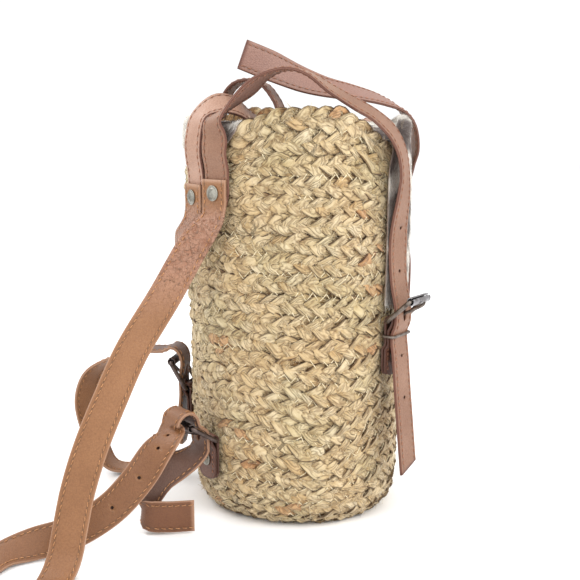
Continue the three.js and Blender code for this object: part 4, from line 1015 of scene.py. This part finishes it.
class Ribbon:
    """Even samples along stations: middle, direction, width direction, face direction and share of width."""

    def __init__(self, rows, step):
        places = np.linspace(0, 1, 24 * (len(rows) - 1) + 1)
        middle = spline([r[0] for r in rows], places)
        across = spline([r[1] for r in rows], places)
        share = np.interp(places * (len(rows) - 1), np.arange(len(rows)), [r[2] for r in rows])
        run = np.concatenate([[0], np.cumsum(np.linalg.norm(np.diff(middle, axis=0), axis=1))])
        self.length = float(run[-1])
        self.fine = (run, middle, across, share)
        self.run = np.linspace(0, self.length, max(4, round(self.length / step)))
        self.here, self.ahead, self.wide, self.face, self.share = self.at(self.run)

    def at(self, run):
        """Middle, direction, width and face directions, and share of width, at lengths along the ribbon."""
        fine, middle, across, share = self.fine
        run = np.asarray(run, float)

        def take(values, where):
            return np.stack([np.interp(where, fine, values[:, i]) for i in range(3)], -1)

        here = take(middle, run)
        before, after = np.maximum(run - 0.8, 0), np.minimum(run + 0.8, self.length)
        ahead = unit(take(middle, after) - take(middle, before))
        wide = take(across, run)
        wide = unit(wide - ahead * (wide * ahead).sum(-1, keepdims=True))
        return here, ahead, wide, np.cross(ahead, wide), np.interp(run, fine, share)

    def nearest(self, point):
        return float(self.run[np.argmin(np.linalg.norm(self.here - np.asarray(point), axis=1))])


# Half of a strap's outline, from its face round the edge: distance in from the edge, height as a share of
# half the thickness, and how much of the edge colour and of the painted shade in the stitch groove each point
# shows
STITCH_IN = 3.6
FACE_LINE = ((7.0, 1.0, 0, 0), (4.7, 0.96, 0, 0), (STITCH_IN + 0.4, 0.88, 0, 0.5),
             (STITCH_IN, 0.84, 0, 0.8), (STITCH_IN - 0.4, 0.88, 0, 0.5), (2.4, 0.95, 0, 0), (1.2, 0.88, 0, 0),
             (0.5, 0.74, 0.6, 0), (0.12, 0.5, 1, 0), (0.0, 0.26, 1, 0), (0.22, 0.08, 0.35, 0))
END_SLANT_REACH = 30
ROUND_END_SHARE = 0.35
STRAP_STEP = 3.5


def strap_outline(width, thickness):
    """Points of the section as (across, height, edge, seam, back), from one edge to the other and under."""
    right = [(width / 2 - inset, height * thickness / 2, edge, seam, 0.0)
             for inset, height, edge, seam in FACE_LINE]
    left = [(-across, *others) for across, *others in right][::-1]
    top = left + [(0.0, thickness / 2, 0, 0, 0.0)] + right
    under = [(a, -h, e, s, 1.0 if e < 0.5 else 0.0) for a, h, e, s, _ in top][::-1]
    return np.array(top + under)


def strap(name, rows, width, thickness, leather, grain=1, step=STRAP_STEP, end_cut=0.0, round_ends=0.0,
          worn=()):
    """Sweeps the stitched section along the stations. A cut slants the end by that many mm over its width."""
    ribbon = Ribbon(rows, step)
    if round_ends:
        near_end = np.clip(np.minimum(ribbon.run, ribbon.length - ribbon.run) / round_ends, 0, 1)
        ribbon.share = mix(ROUND_END_SHARE, 1, np.sqrt(np.clip(1 - (1 - near_end) ** 2, 0, 1)))
    outline = strap_outline(width, thickness)
    shape = (len(ribbon.run), len(outline))
    across = outline[:, 0] * ribbon.share[:, None]
    height = np.broadcast_to(outline[:, 1] * grain, shape)
    fade = 1 - smooth_step(ribbon.length - ribbon.run, 0, END_SLANT_REACH)
    slide = outline[:, 0] / width * end_cut * fade[:, None]
    rings = ribbon.here[:, None] + ribbon.wide[:, None] * across[..., None] \
        + ribbon.face[:, None] * height[..., None] + ribbon.ahead[:, None] * slide[..., None]
    edge, seam, back = (np.broadcast_to(outline[:, column], shape).copy() for column in (2, 3, 4))
    edge[0] = edge[-1] = 1
    values = {"edge": edge, "seam": seam, "back": back}
    if worn:
        tone = np.interp(ribbon.run / ribbon.length, *zip(*worn))
        values["worn"] = np.broadcast_to(tone[:, None], shape).copy()
    body = Shape()
    body.tube(rings, **values)
    return body.build(name, [leather, RAW_LEATHER]), ribbon


# One stitch: share of its length, share of its thickness, and rise of its middle line
STITCH = np.array([(-0.5, 0.10, -0.55), (-0.42, 0.30, -0.1), (-0.2, 0.40, 0.22), (0.2, 0.40, 0.22),
                   (0.42, 0.30, -0.1), (0.5, 0.10, -0.55)])
STITCH_THICKNESS = 0.36
STITCH_SLANT = 0.14
STITCH_RISE = 0.12


def stitches(name, ribbon, width, thickness, thread, pitch=5.6, length=4.3, spans=None, sides=(1, -1)):
    """Rows of single stitches near both edges, on both faces."""
    body = Shape()
    runs = np.arange(pitch, ribbon.length - pitch / 2, pitch)
    if spans:
        runs = np.array([r for r in runs if any(a <= r <= b for a, b in spans)])
    for edge in (-1, 1):
        for side in sides:
            here, ahead, wide, face, whole = ribbon.at(runs + (0.3 if side < 0 else 0) * pitch)
            centre = here + wide * (edge * (width / 2 * whole - STITCH_IN))[:, None] \
                + face * (side * thickness / 2 * 0.86)
            slant = STITCH_SLANT * edge
            for where, a, w, f in zip(centre, ahead, wide, face * side):
                way = a * math.cos(slant) + w * math.sin(slant)
                ring = circle(np.cross(way, f), f, 6) * STITCH_THICKNESS / 0.4
                body.tube([where + way * (along * length) + f * (rise + STITCH_RISE) + ring * share
                           for along, share, rise in STITCH])
    return body.build(name, [thread])


# Holes

HOLE_SIDES = 20


def hole(centre, along, half_sizes, length, wide):
    """Points for a cutter whose middle line follows `along`, with its first half size along `wide`."""
    flat = circle(wide * half_sizes[0], np.cross(along, wide) * half_sizes[1], HOLE_SIDES)
    return np.stack([centre + flat + along * length * end for end in (-0.5, 0.5)])


def cut_holes(piece, tools):
    """Takes the tools out of the piece and gives the cut walls a material of their own."""
    cutter = Shape()
    for rings in tools:
        cutter.tube(rings)
    tool = cutter.build("hole_tool", [RAW_LEATHER], smooth=False)
    change = piece.modifiers.new("holes", "BOOLEAN")
    change.operation, change.object, change.solver = "DIFFERENCE", tool, "EXACT"
    change.material_mode = "TRANSFER"
    bpy.context.view_layer.update()
    cut = bpy.data.meshes.new_from_object(piece.evaluated_get(bpy.context.evaluated_depsgraph_get()))
    piece.modifiers.clear()
    piece.data = cut
    bpy.data.objects.remove(tool)


def round_hole(centre, along, length):
    aside = unit(np.cross(along, [0.3, 0.2, 0.93]))
    return hole(centre, along, (SEEN_HOLE_RADIUS, SEEN_HOLE_RADIUS), length, aside)


def prong_hole(place):
    slanted = STRAP_THICKNESS / math.tan(place.tilt) + 2 * PRONG_RADIUS / math.sin(place.tilt)
    half_sizes = (PRONG_RADIUS + 2 * SEAT, (slanted + PRONG_HOLE_ROOM) / 2)
    centre = place.site.at(0, place.strap_out, place.hole_up)
    return hole(centre, place.site.out, half_sizes, STRAP_THICKNESS * 4, place.site.sideways)


def punch_holes(place):
    return [round_hole(place.site.at(0, place.fold_face * 1.5, place.hole_up + step * PUNCH_PITCH),
                       place.site.out, place.fold_face * 3)
            for step in range(-PUNCHES_EACH_WAY, PUNCHES_EACH_WAY + 1) if step]


# Places of the size holes along the left shoulder strap
SIZE_HOLES = ((-121.7, -76, 93), (-136, -82.5, 75), (-153, -89, 54), (-174, -97, 31), (-266, -170, 2.5))


def size_holes(ribbon):
    """Blind holes in the grain side of a strap."""
    holes = []
    for spot in SIZE_HOLES:
        here, _, _, face, _ = ribbon.at([ribbon.nearest(spot)])
        grain_side = here[0] - face[0] * STRAP_THICKNESS / 2
        holes.append(round_hole(grain_side, face[0], 2 * (STRAP_THICKNESS - HOLE_FLOOR)))
    return holes


# Straps as pieces

def dress(piece, node_name, body="bag"):
    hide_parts(node_name)
    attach(piece, body)


# How much darker the left shoulder strap is made, by share of its length
DARKENING = ((0.3, 0), (0.55, 0.5), (0.86, 0.5), (0.93, 1))
STRAPS = {
    "closing_strap_left": (STRAP_LEATHER, BROWN_THREAD, {"end_cut": -7}),
    # The right closing strap takes the lighter copy of the leather: painted light on its up-facing top.
    "closing_strap_right": (TOP_LIT_LEATHER, BROWN_THREAD, {}),
    "shoulder_strap_left": (SHOULDER_LEATHER, LEATHER_THREAD, {"grain": -1, "worn": DARKENING}),
    "shoulder_strap_right": (SHOULDER_LEATHER, LEATHER_THREAD, {"grain": -1})}
ribbons = {}
for name, (leather, thread, settings) in STRAPS.items():
    piece, ribbon = strap(name + "_hide", stations[name], STRAP_WIDTH, STRAP_THICKNESS, leather, **settings)
    ribbons[name] = (piece, ribbon, thread)
for name, (piece, ribbon, thread) in ribbons.items():
    sewn = stitches(name + "_stitches", ribbon, STRAP_WIDTH, STRAP_THICKNESS, thread)
    dress(piece, name)
    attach(sewn, "bag")
holes = {
    "closing_strap_left": [prong_hole(front_left)] + punch_holes(front_left),
    "closing_strap_right": [prong_hole(front_right)],
    "shoulder_strap_left": [prong_hole(lower_left)] + size_holes(ribbons["shoulder_strap_left"][1]),
    "shoulder_strap_right": [prong_hole(lower_right)]}
for name, tools in holes.items():
    cut_holes(ribbons[name][0], tools)


# Buckles, tabs and rivets

def round_loop(corners, radius, steps=6):
    """Closed path through the corners with each one rounded."""
    corners = [np.asarray(c, float) for c in corners]
    path = []
    for index, corner in enumerate(corners):
        before, after = corners[index - 1], corners[(index + 1) % len(corners)]
        first, last = corner + unit(before - corner) * radius, corner + unit(after - corner) * radius
        for t in np.linspace(0, 1, steps):
            path.append((1 - t) ** 2 * first + 2 * t * (1 - t) * corner + t**2 * last)
        for t in (0.25, 0.5, 0.75):
            path.append(last + (after + unit(corner - after) * radius - last) * t)
    return np.array(path)


def wire(shape, path, thick, flat_way, closed=True, sizes=1.0):
    """Bar along a path. `thick` is its two half sizes, the first along `flat_way`."""
    path = np.asarray(path, float)
    ahead = unit(np.roll(path, -1, 0) - np.roll(path, 1, 0)) if closed else unit(np.gradient(path, axis=0))
    first = unit(flat_way - ahead * (flat_way * ahead).sum(-1, keepdims=True))
    grow = np.broadcast_to(sizes, len(path))[:, None, None]
    ring = circle(first * thick[0], np.cross(ahead, first) * thick[1], 14)
    shape.tube(path[:, None] + ring * grow, closed=closed)


def lathe(shape, origin, axis, profile):
    """Body turned round an axis from (radius, height) pairs that start and end on it."""
    axis = unit(np.asarray(axis, float))
    aside = unit(np.cross(axis, [0.1, 0.2, 1.0]))
    ring = circle(aside, np.cross(axis, aside), 40)
    shape.tube([np.asarray(origin) + axis * height + ring * max(radius, 0.01) for radius, height in profile])


RIVET_HEAD = ((RIVET_HEAD_RADIUS - 0.3, 0.0), (RIVET_HEAD_RADIUS, 0.3), (RIVET_HEAD_RADIUS, 0.65),
              (RIVET_HEAD_RADIUS - 0.4, 0.95), (5.3, 0.98), (4.9, 0.8), (4.5, 0.98), (3.9, 1.5), (2.8, 1.92),
              (1.4, 2.15), (0.0, RIVET_HEAD_HEIGHT))
RIVET_SHANK_RADIUS = 1.8
RIVET_TAIL_RADIUS = 4.5


def rivet(name, origin, axis, head_seat, tail_seat):
    tail = [(0.0, tail_seat - 1), (RIVET_TAIL_RADIUS - 0.5, tail_seat - 1),
            (RIVET_TAIL_RADIUS, tail_seat - 0.7), (RIVET_TAIL_RADIUS, tail_seat),
            (RIVET_SHANK_RADIUS, tail_seat), (RIVET_SHANK_RADIUS, head_seat)]
    body = Shape()
    lathe(body, origin, axis, tail + [(radius, head_seat + height) for radius, height in RIVET_HEAD])
    dress(body.build(name + "_metal", [RIVET_METAL], sharp=40), name)


TAB_STITCH_IN = 7
FRAME_CORNER = 2.6
KEEPER_CORNER = 1.6
ROLLER_WALL = 1.1
ROLLER_SLIT = 0.2
ROLLER_SLIT_AT = 100


def tab_piece(name, place):
    tab, ribbon = strap(name + "_hide", place.tab_path(), STRAP_WIDTH, TAB_THICKNESS, TAB_LEATHER,
                        grain=-1, step=1.6, round_ends=9.0)
    top, bottom = place.fold + TAB_THICKNESS, -place.fold - SEAT
    centre = place.site.at(0, place.fold_face, (top + bottom) / 2)
    size = (PRONG_SLOT_WIDTH / 2 * 1.08, (top - bottom) / 2 * 1.05)
    cut_holes(tab, [hole(centre, place.site.out, size, place.fold_face * 2, place.site.sideways)])
    dress(tab, name)
    reach = place.tab["length"] - TAB_STITCH_IN - 1
    spans = [(TAB_STITCH_IN, reach), (ribbon.length - reach, ribbon.length - TAB_STITCH_IN)]
    sewn = stitches(name + "_stitches", ribbon, STRAP_WIDTH, TAB_THICKNESS, BROWN_THREAD,
                    pitch=4.2, length=3.2, spans=spans, sides=(-1,))
    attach(sewn, "bag")


def frame_shape(place):
    body = Shape()
    half, long = place.half_width, BUCKLE_LENGTH
    loop = round_loop([(-half, 0, 0), (half, 0, 0), (half, 0, long), (-half, 0, long)], FRAME_CORNER)
    grow = np.where(loop[:, 2] < 0.4, 0.92, np.where(loop[:, 2] > long - 0.4, 0.76, 1.02))
    grow = np.convolve(np.concatenate([grow[-2:], grow, grow[:2]]), [0.25, 0.5, 0.25], "same")[2:-2]
    out_way = place.leaning(0, 1, 0) - place.leaning(0, 0, 0)
    half_sizes = (SIDE_BAR_RADIUS * 0.97, SIDE_BAR_RADIUS)
    wire(body, [place.leaning(*p) for p in loop], half_sizes, out_way, sizes=grow)
    return body


def roller_shape(place):
    reach, high = place.half_width - SIDE_BAR_RADIUS - SEAT, ROLLER_RADIUS
    low = max(AXLE_RADIUS + SEAT, high - ROLLER_WALL)
    near = [(high, 0.5 - reach), (high - 0.08, 0.12 - reach), (high - 0.35, -reach), (low + 0.15, -reach),
            (low, 0.3 - reach)]
    ring = near + [(r, -x) for r, x in near[::-1]]
    angles = np.linspace(ROLLER_SLIT, 2 * math.pi - ROLLER_SLIT, 49) + math.radians(ROLLER_SLIT_AT)
    body = Shape()
    body.tube([[place.leaning(x, r * math.cos(angle), BUCKLE_LENGTH + r * math.sin(angle)) for r, x in ring]
               for angle in angles])
    return body


def prong_shape(place):
    bore, half_eye = HEEL_BAR_RADIUS + SEAT, PRONG_SLOT_WIDTH / 2 - 3 * SEAT
    half_ring = [(bore, 0.3 - half_eye), (bore + 0.3, -half_eye), (bore + PRONG_EYE_WALL - 0.3, -half_eye),
                 (bore + PRONG_EYE_WALL, 0.4 - half_eye)]
    ring = half_ring + [(r, -x) for r, x in half_ring[::-1]]
    body = Shape()
    body.tube([[place.leaning(x, r * math.cos(angle), r * math.sin(angle)) for r, x in ring]
               for angle in np.linspace(0, 2 * math.pi, 28, endpoint=False)], closed=True)
    clear, long = ROLLER_RADIUS + SEAT + PRONG_RADIUS, BUCKLE_LENGTH
    share = np.linspace(0, 1, 26)
    path = spline([(0, 0, bore + PRONG_EYE_WALL / 2), (0, clear * 0.15, long * 0.3),
                   (0, clear * 0.7, long * 0.7), (0, clear + 0.2, long),
                   (0, clear - 0.4, long + PRONG_OVERHANG)], share)
    grow = np.minimum(1, 0.5 + 3 * (1 - share)) * (1 - 0.12 * share)
    wire(body, [place.leaning(*p) for p in path], (PRONG_RADIUS, PRONG_RADIUS), place.site.sideways,
         closed=False, sizes=grow)
    return body


def keeper_shape(place):
    half_loop = STRAP_WIDTH / 2 + KEEPER_SIDE_ROOM + KEEPER_THICKNESS / 2
    back = place.stand - SEAT - KEEPER_THICKNESS / 2
    front = place.keeper_out + STRAP_THICKNESS / 2 + 2 * SEAT + KEEPER_THICKNESS / 2
    corners = [(-half_loop, back), (half_loop, back), (half_loop, front), (-half_loop, front)]
    loop = round_loop([place.site.at(x, y, -place.tab["keeper_drop"]) for x, y in corners], KEEPER_CORNER)
    body = Shape()
    wire(body, loop, (KEEPER_HEIGHT / 2, KEEPER_THICKNESS / 2), np.array([0.0, 0.0, 1.0]))
    return body


def dress_buckle(where, side, place):
    """One buckle with its tab and rivet. The front ones are brighter and have a keeper."""
    in_front = where == "front"
    bar_metal, tube_metal = (GUNMETAL, BRUSHED) if in_front else (DARK_STEEL, DARK_STEEL)
    tab_piece(f"{where}_tab_{side}", place)
    pieces = [("buckle", frame_shape, bar_metal, None, "frame"),
              ("roller", roller_shape, tube_metal, 35, "tube"),
              ("prong", prong_shape, bar_metal, None, "tongue")]
    for word, make, metal, sharp, body in pieces:
        name = f"{where}_{word}_{side}"
        dress(make(place).build(name + "_metal", [metal], sharp=sharp), name, f"{name}_{body}")
    drop = place.tab["rivet_drop"]
    rivet(f"{where}_rivet_{side}", place.site.at(0, place.site.wall_out(-drop), -drop), place.site.out,
          place.rivet_seat, -BASKET_WALL - SEAT)
    if in_front:
        name = f"{where}_keeper_{side}"
        dress(keeper_shape(place).build(name + "_metal", [GUNMETAL]), name, name + "_loop")


for key, place in buckles.items():
    dress_buckle(*key.split("_"), place)
for side in ("left", "right"):
    site = Site(BACK[side], BACK["rivet_" + side])
    rivet(f"back_rivet_{side}", site.origin, site.out, shoulder_seat + STRAP_THICKNESS / 2 + SEAT,
          -BASKET_WALL - SEAT)


# Hide flap

FLAP_BACK = {"near": 227, "far": 168}
FLAP_FRONT = {"near": -50, "far": 34}
FLAP_HEM = {"near": -55, "far": 14}
FLAP_BACK_CORNER = 219
FLAP_ROWS = 130
FLAP_COLUMNS = 61
SKIN_RISE = 0.3
# Shares of the way from the mouth's middle to the wall where the trough and the level part fade
TROUGH_FADE = (0.7, 0.95)
LEVEL_FADE = (0.55, 0.9)
HAIR_LENGTH = (4.5, 8.0)
HAIR_LIFT = (0.5, 1.35)
HAIR_HALF_WIDTH = (0.2, 0.34)
HAIR_SPREAD = 0.22
flap_inside = -BASKET_WALL - 3
# Middle, reach and whiteness of light and dark places on the hide that the photo shows; three dark ones run
# down beside the front left strap
HIDE_PATCHES = (((-71, -70, 343), 13, 1.0), ((-80, -66, 322), 13, 0.0), ((-88, -45, 341), 14, 0.35),
                ((-90, -47, 322), 9, 0.9), ((50, -86, 320), 30, 0.05), ((57, -84, 262), 26, 0.12),
                ((57, -84, 215), 28, 0.2), ((-104, 10, 330), 34, 1.0))


def flap_height(x, y):
    x, y = np.asarray(x, float), np.asarray(y, float)
    along_x = x / np.where(x < 0, HALF_DEPTH_BACK, HALF_DEPTH_FRONT)
    along_y = y / np.where(y < 0, HALF_WIDTH_LEFT, HALF_WIDTH_RIGHT)
    degrees, outward = np.degrees(np.arctan2(along_y, along_x)), np.hypot(along_x, along_y)
    start, end = (wall_point(d, BASKET_HEIGHT)[:2] for d in (BACK["right"], FRONT["right"]))
    way = end - start
    share = np.clip(((x - start[0]) * way[0] + (y - start[1]) * way[1]) / (way @ way), 0, 1)
    away = np.hypot(x - start[0] - share * way[0], y - start[1] - share * way[1])
    bank = 1 - smooth_step(away, FLAP_TROUGH_HALF_WIDTH, FLAP_TROUGH_HALF_WIDTH + FLAP_TROUGH_BANK)
    sag = FLAP_TROUGH * bank * (1 - smooth_step(outward, *TROUGH_FADE))
    level = mix(FLAP_LEVEL, rim_height(degrees) - 3, smooth_step(outward, *LEVEL_FADE))
    return np.minimum(FLAP_LEVEL, level) - sag


def between(span, share):
    return mix(span["near"], span["far"], share)


def flap_arc(span, row, share):
    angle, radius = math.radians(row), BASKET_WALL / 2 + flap_out
    degrees = between(span, share)
    height = rim_height(degrees) - BASKET_WALL / 2 + radius * math.sin(angle)
    return wall_point(degrees, height, -BASKET_WALL / 2 + radius * math.cos(angle))


def flap_rows(share):
    rows = [wall_point(mix(FLAP_BACK_CORNER, FLAP_BACK["far"], share), FLAP_BACK_HEM, flap_out)]
    rows += [flap_arc(FLAP_BACK, row, share) for row in (0, 45, 90, 135)]
    steps = FLAP_MOUTH_STEPS
    for row in range(steps + 1):
        along = row / steps
        near = wall_point(mix(FLAP_BACK["near"], 360 + FLAP_FRONT["near"], along), BASKET_HEIGHT, flap_inside)
        far = wall_point(mix(FLAP_BACK["far"], FLAP_FRONT["far"], along), BASKET_HEIGHT, flap_inside)
        bow = 1.0 if row % steps == 0 else (1 - math.sin(math.pi * along)) ** 3
        span = FLAP_BACK if row < steps / 2 else FLAP_FRONT
        rounded = wall_point(between(span, share), BASKET_HEIGHT, flap_inside)
        point = mix(near + (far - near) * share[:, None], rounded, bow)
        point[:, 2] = flap_height(point[:, 0], point[:, 1])
        rows.append(point)
    rows += [flap_arc(FLAP_FRONT, row, share) for row in (135, 90, 45, 0)]
    for place in (-0.5, 0, 0.25, 0.5, 0.75, 1):
        turn = 1 - (1 - (place + 1) / 2) ** 4
        edges = [mix(FLAP_FRONT[edge], FLAP_HEM[edge], turn) for edge in ("near", "far")]
        degrees = mix(*edges, share)
        top = mix(rim_height(degrees) - BASKET_WALL / 2, SHOULDER_HEIGHT, min(place + 1, 1))
        rows.append(wall_point(degrees, mix(top, FLAP_FRONT_HEM, max(place, 0)), flap_out))
    return np.array(rows)


def hide_colour(points):
    """How white the hair is, from 0 to 1: soft edged patches, and waves between them."""
    x, y, z = (points[..., i] for i in range(3))
    wave = np.sin(x / 17 + 1.3) * np.sin(y / 13 - 0.6) + 0.7 * np.sin(z / 11 + x / 29) * np.cos(y / 19 + 0.4)
    wave = wave + 0.45 * np.sin((x + y + z) / 6.3) * np.sin((x - z) / 5.1)
    white = smooth_step(wave, -0.25, 0.35)
    for centre, reach, value in HIDE_PATCHES:
        away = np.linalg.norm(points - np.array(centre), axis=-1)
        white = mix(white, value, 1 - smooth_step(away, reach * 0.6, reach))
    return white


def hide_material():
    hide = Finish("hair_on_hide")
    speck = hide.noise(900, 3, roughness=0.7)
    light = hide.ramp(speck, (0.3, srgb(214, 205, 188)), (0.6, srgb(246, 243, 236)))
    dark = hide.ramp(hide.noise(60, 4, roughness=0.6), (0.3, srgb(74, 58, 56)), (0.55, srgb(112, 98, 92)),
                     (0.75, srgb(140, 132, 118)))
    colour = hide.blend(hide.attribute("white"), dark, light)
    # Darker towards each hair's root: painted shade among the hairs.
    colour = hide.tint(hide.attribute("root"), colour, srgb(70, 56, 50))
    colour = hide.blend(hide.attribute("back"), colour, srgb(150, 124, 104))
    return hide.finish(colour, 0.55, hide.bump(speck, 0.0003), Sheen_Weight=0.2)


HIDE = hide_material()
flap_coarse = flap_rows(np.linspace(0, 1, FLAP_COLUMNS))
flap_grid = np.stack([
    spline(flap_coarse[:, column], np.linspace(0, 1, FLAP_ROWS)) for column in range(FLAP_COLUMNS)], 1)
flap_along, flap_across = np.gradient(flap_grid, axis=0), np.gradient(flap_grid, axis=1)
flap_normal = unit(np.cross(flap_along, flap_across))
if flap_normal[FLAP_ROWS // 2, FLAP_COLUMNS // 2, 2] < 0:
    flap_normal = -flap_normal
skin = flap_grid + flap_normal * SKIN_RISE


def flap_skin():
    under = flap_grid - flap_normal * FLAP_THICKNESS / 2
    rings = np.concatenate([skin, under[:, ::-1]], 1)
    is_back = np.repeat([[0.0, 1.0]], FLAP_COLUMNS, 1).repeat(FLAP_ROWS, 0)
    grid = np.arange(rings[..., 0].size).reshape(rings.shape[:2])
    beside = np.roll(grid, -1, 1)
    quads = [np.stack([grid[:-1], beside[:-1], beside[1:], grid[1:]], -1).reshape(-1, 4)]
    for end, way in ((grid[0], 1), (grid[-1], -1)):
        top, bottom = end[:FLAP_COLUMNS], end[::-1][:FLAP_COLUMNS]
        quads.append(np.stack([top[:-1], top[1:], bottom[1:], bottom[:-1]], -1)[:, ::way])
    body = Shape()
    body.add(rings, np.concatenate(quads), white=hide_colour(rings).ravel(), back=is_back.ravel())
    return body.build("hide_flap_skin", [HIDE])


flap_piece = flap_skin()
dress(flap_piece, "hide_flap")


def hair(name, count, rows, seed):
    """Short hairs that lie towards the front hem, between two shares of the flap's length."""
    draw = np.random.default_rng(seed)
    row = draw.uniform(rows[0], rows[1], count) * (FLAP_ROWS - 1.01)
    column = draw.uniform(0, 1, count) * (FLAP_COLUMNS - 1.01)
    i, j = row.astype(int), column.astype(int)
    down, over = (row - i)[:, None], (column - j)[:, None]

    def take(grid):
        return mix(mix(grid[i, j], grid[i + 1, j], down), mix(grid[i, j + 1], grid[i + 1, j + 1], down), over)

    root = take(skin)
    along, across, normal = (unit(take(grid)) for grid in (flap_along, flap_across, flap_normal))
    swirl = 0.5 * np.sin(root[:, 0] / 23 + root[:, 1] / 17) + draw.normal(0, HAIR_SPREAD, count)
    way = unit(along * np.cos(swirl)[:, None] + across * np.sin(swirl)[:, None])
    side = np.cross(way, normal)
    length = draw.uniform(*HAIR_LENGTH, count)[:, None]
    lift = draw.uniform(*HAIR_LIFT, count)[:, None]
    half = draw.uniform(*HAIR_HALF_WIDTH, count)[:, None]
    base = root - normal * 0.25
    top = base + normal * half * 1.1 - way * half
    tip = root + way * length + normal * lift
    points = np.stack([base + side * half, base - side * half, top, tip], 1)
    n = np.arange(count)[:, None] * 4
    tris = np.concatenate([n + [face] for face in ([0, 1, 2], [0, 3, 1], [1, 3, 2], [2, 3, 0])])
    tone = np.clip(hide_colour(root) + draw.normal(0, 0.12, count), 0, 1)
    body = Shape()
    # root sets the painted shade near the skin: most at a hair's base, none at its tip.
    body.add(points, (), tris, white=np.repeat(tone, 4), root=np.tile([0.7, 0.7, 0.5, 0.0], count))
    piece = body.build(name, [HIDE], smooth=False)
    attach(piece, "bag")
    return piece


hair_back = hair("hide_flap_hair_back", 15000, (0.0, 0.62), 11)
hair_front = hair("hide_flap_hair_front", 13000, (0.62, 1.0), 12)


# Liner and board

LINER_LIP_LEVEL = 300
FOIL_WAVE = 0.3


def foam_material():
    foam = Finish("liner_foam_white")
    bubbles = foam.cells(900)
    colour = foam.ramp(bubbles, (0.1, srgb(226, 226, 220)), (0.6, srgb(244, 244, 240)))
    return foam.finish(colour, 0.85, foam.bump(bubbles, 0.0002))


def foil_material():
    foil = Finish("liner_foil_silver")
    small = foil.noise(260, 4, roughness=0.6)
    colour = foil.ramp(small, (0.3, srgb(206, 208, 212)), (0.7, srgb(236, 238, 242)))
    creases = foil.bump(foil.cells(55, "DISTANCE_TO_EDGE"), 0.0016)
    return foil.finish(colour, foil.ramp(small, (0.3, 0.38), (0.7, 0.24)),
                       foil.bump(small, 0.0004, under=creases), Metallic=0.9)


def board_material():
    board = Finish("base_board_brown")
    pulp = board.noise((300, 900, 300), 5, roughness=0.65)
    return board.finish(
        board.ramp(pulp, (0.3, srgb(84, 68, 54)), (0.7, srgb(122, 100, 80))), 0.85, board.bump(pulp, 0.0002))


def liner_cup(name, inset, wall, bottom, material, wave_height):
    """Cup that follows the basket's wall, with a rounded lip and soft waves on its inner face."""
    turns = np.linspace(0, 360, 180, endpoint=False)
    top = rim_height(turns) - LINER_BELOW_RIM
    levels = np.linspace(bottom + wall + SEAT, LINER_LIP_LEVEL, 70)
    rings = [wall_point(turns, bottom, -inset)]
    rings += [wall_point(turns, np.minimum(z, top - wall), -inset) for z in levels]
    for angle in np.linspace(0, math.pi, 7):
        rings.append(wall_point(
            turns, top + wall / 2 * (math.sin(angle) - 1), -inset - wall / 2 * (1 - math.cos(angle))))
    for z in levels[::-1]:
        wave = wave_height * (np.sin(turns / 7.2 * math.pi / 2 + z / 9) * np.sin(z / 13 - turns / 23) - 1)
        rings.append(wall_point(turns, np.minimum(z, top - wall), -inset - wall - wave / 2))
    rings.append(wall_point(turns, bottom + wall, -inset - wall))
    body = Shape()
    body.tube(rings)
    piece = body.build(name + "_soft", [material])
    dress(piece, name)
    return piece


foam_inset = BASKET_WALL + RIVET_TAIL_ROOM
foam_bottom = BASKET_WALL + SEAT + BOARD_THICKNESS + SEAT
foam_piece = liner_cup("liner_foam", foam_inset, FOAM_THICKNESS, foam_bottom, foam_material(), 0.0)
foil_seat = FOAM_THICKNESS + SEAT
liner_cup("liner_foil", foam_inset + foil_seat, FOIL_THICKNESS, foam_bottom + foil_seat, foil_material(),
          FOIL_WAVE)
board_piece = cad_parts["base_board"]
board_piece.data.materials.clear()
board_piece.data.materials.append(board_material())


# Carry handle

HANDLE_FEET = {"rear": (-76, 15), "front": (-3, -39)}
HANDLE_ACROSS = (0.45, 0.89, 0)
foot_rise = FLAP_THICKNESS / 2 + 4 * SEAT + STRAP_THICKNESS / 2


def flap_up(x, y):
    reach = HANDLE_WIDTH / 2
    slope_x = (flap_height(x + reach, y) - flap_height(x - reach, y)) / (2 * reach)
    slope_y = (flap_height(x, y + reach) - flap_height(x, y - reach)) / (2 * reach)
    return unit(np.array([-slope_x, -slope_y, 1.0]))


def on_flap(foot, x, y, rise=0.0):
    """Station on the flap at a distance from one of the handle's feet."""
    x, y = HANDLE_FEET[foot][0] + x, HANDLE_FEET[foot][1] + y
    normal = flap_up(x, y)
    across = np.array(HANDLE_ACROSS, float)
    across = across - normal * (across @ normal)
    return (np.array([x, y, flap_height(x, y)]) + normal * (foot_rise + rise), across, 1.0)


handle_arch = [(-64.5, 8.5, 9), (-61.5, 6.5, 19), (-54, 2, 27.5), (-43, -5, 30), (-32, -13, 25),
               (-24, -21, 13), (-20, -26, 3)]
handle_rows = [on_flap("rear", -6, 3, 0.2), on_flap("rear", 0, 0), on_flap("rear", 8, -4, 0.2)]
handle_rows += mouth(*[(*point, *HANDLE_ACROSS) for point in handle_arch])
handle_rows += [on_flap("front", -10, 5, 0.8), on_flap("front", 0, 0), on_flap("front", 10, -3)]
handle, handle_ribbon = strap("carry_handle_hide", handle_rows, HANDLE_WIDTH, STRAP_THICKNESS, STRAP_LEATHER,
                              step=2.0, round_ends=5.0)
dress(handle, "carry_handle")
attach(stitches("carry_handle_stitches", handle_ribbon, HANDLE_WIDTH, STRAP_THICKNESS, BROWN_THREAD), "bag")
for end, (x, y) in HANDLE_FEET.items():
    rivet(f"handle_rivet_{end}", (x, y, float(flap_height(x, y))), flap_up(x, y),
          foot_rise + STRAP_THICKNESS / 2 + 2 * SEAT, -FLAP_THICKNESS / 2 - 3 * SEAT)
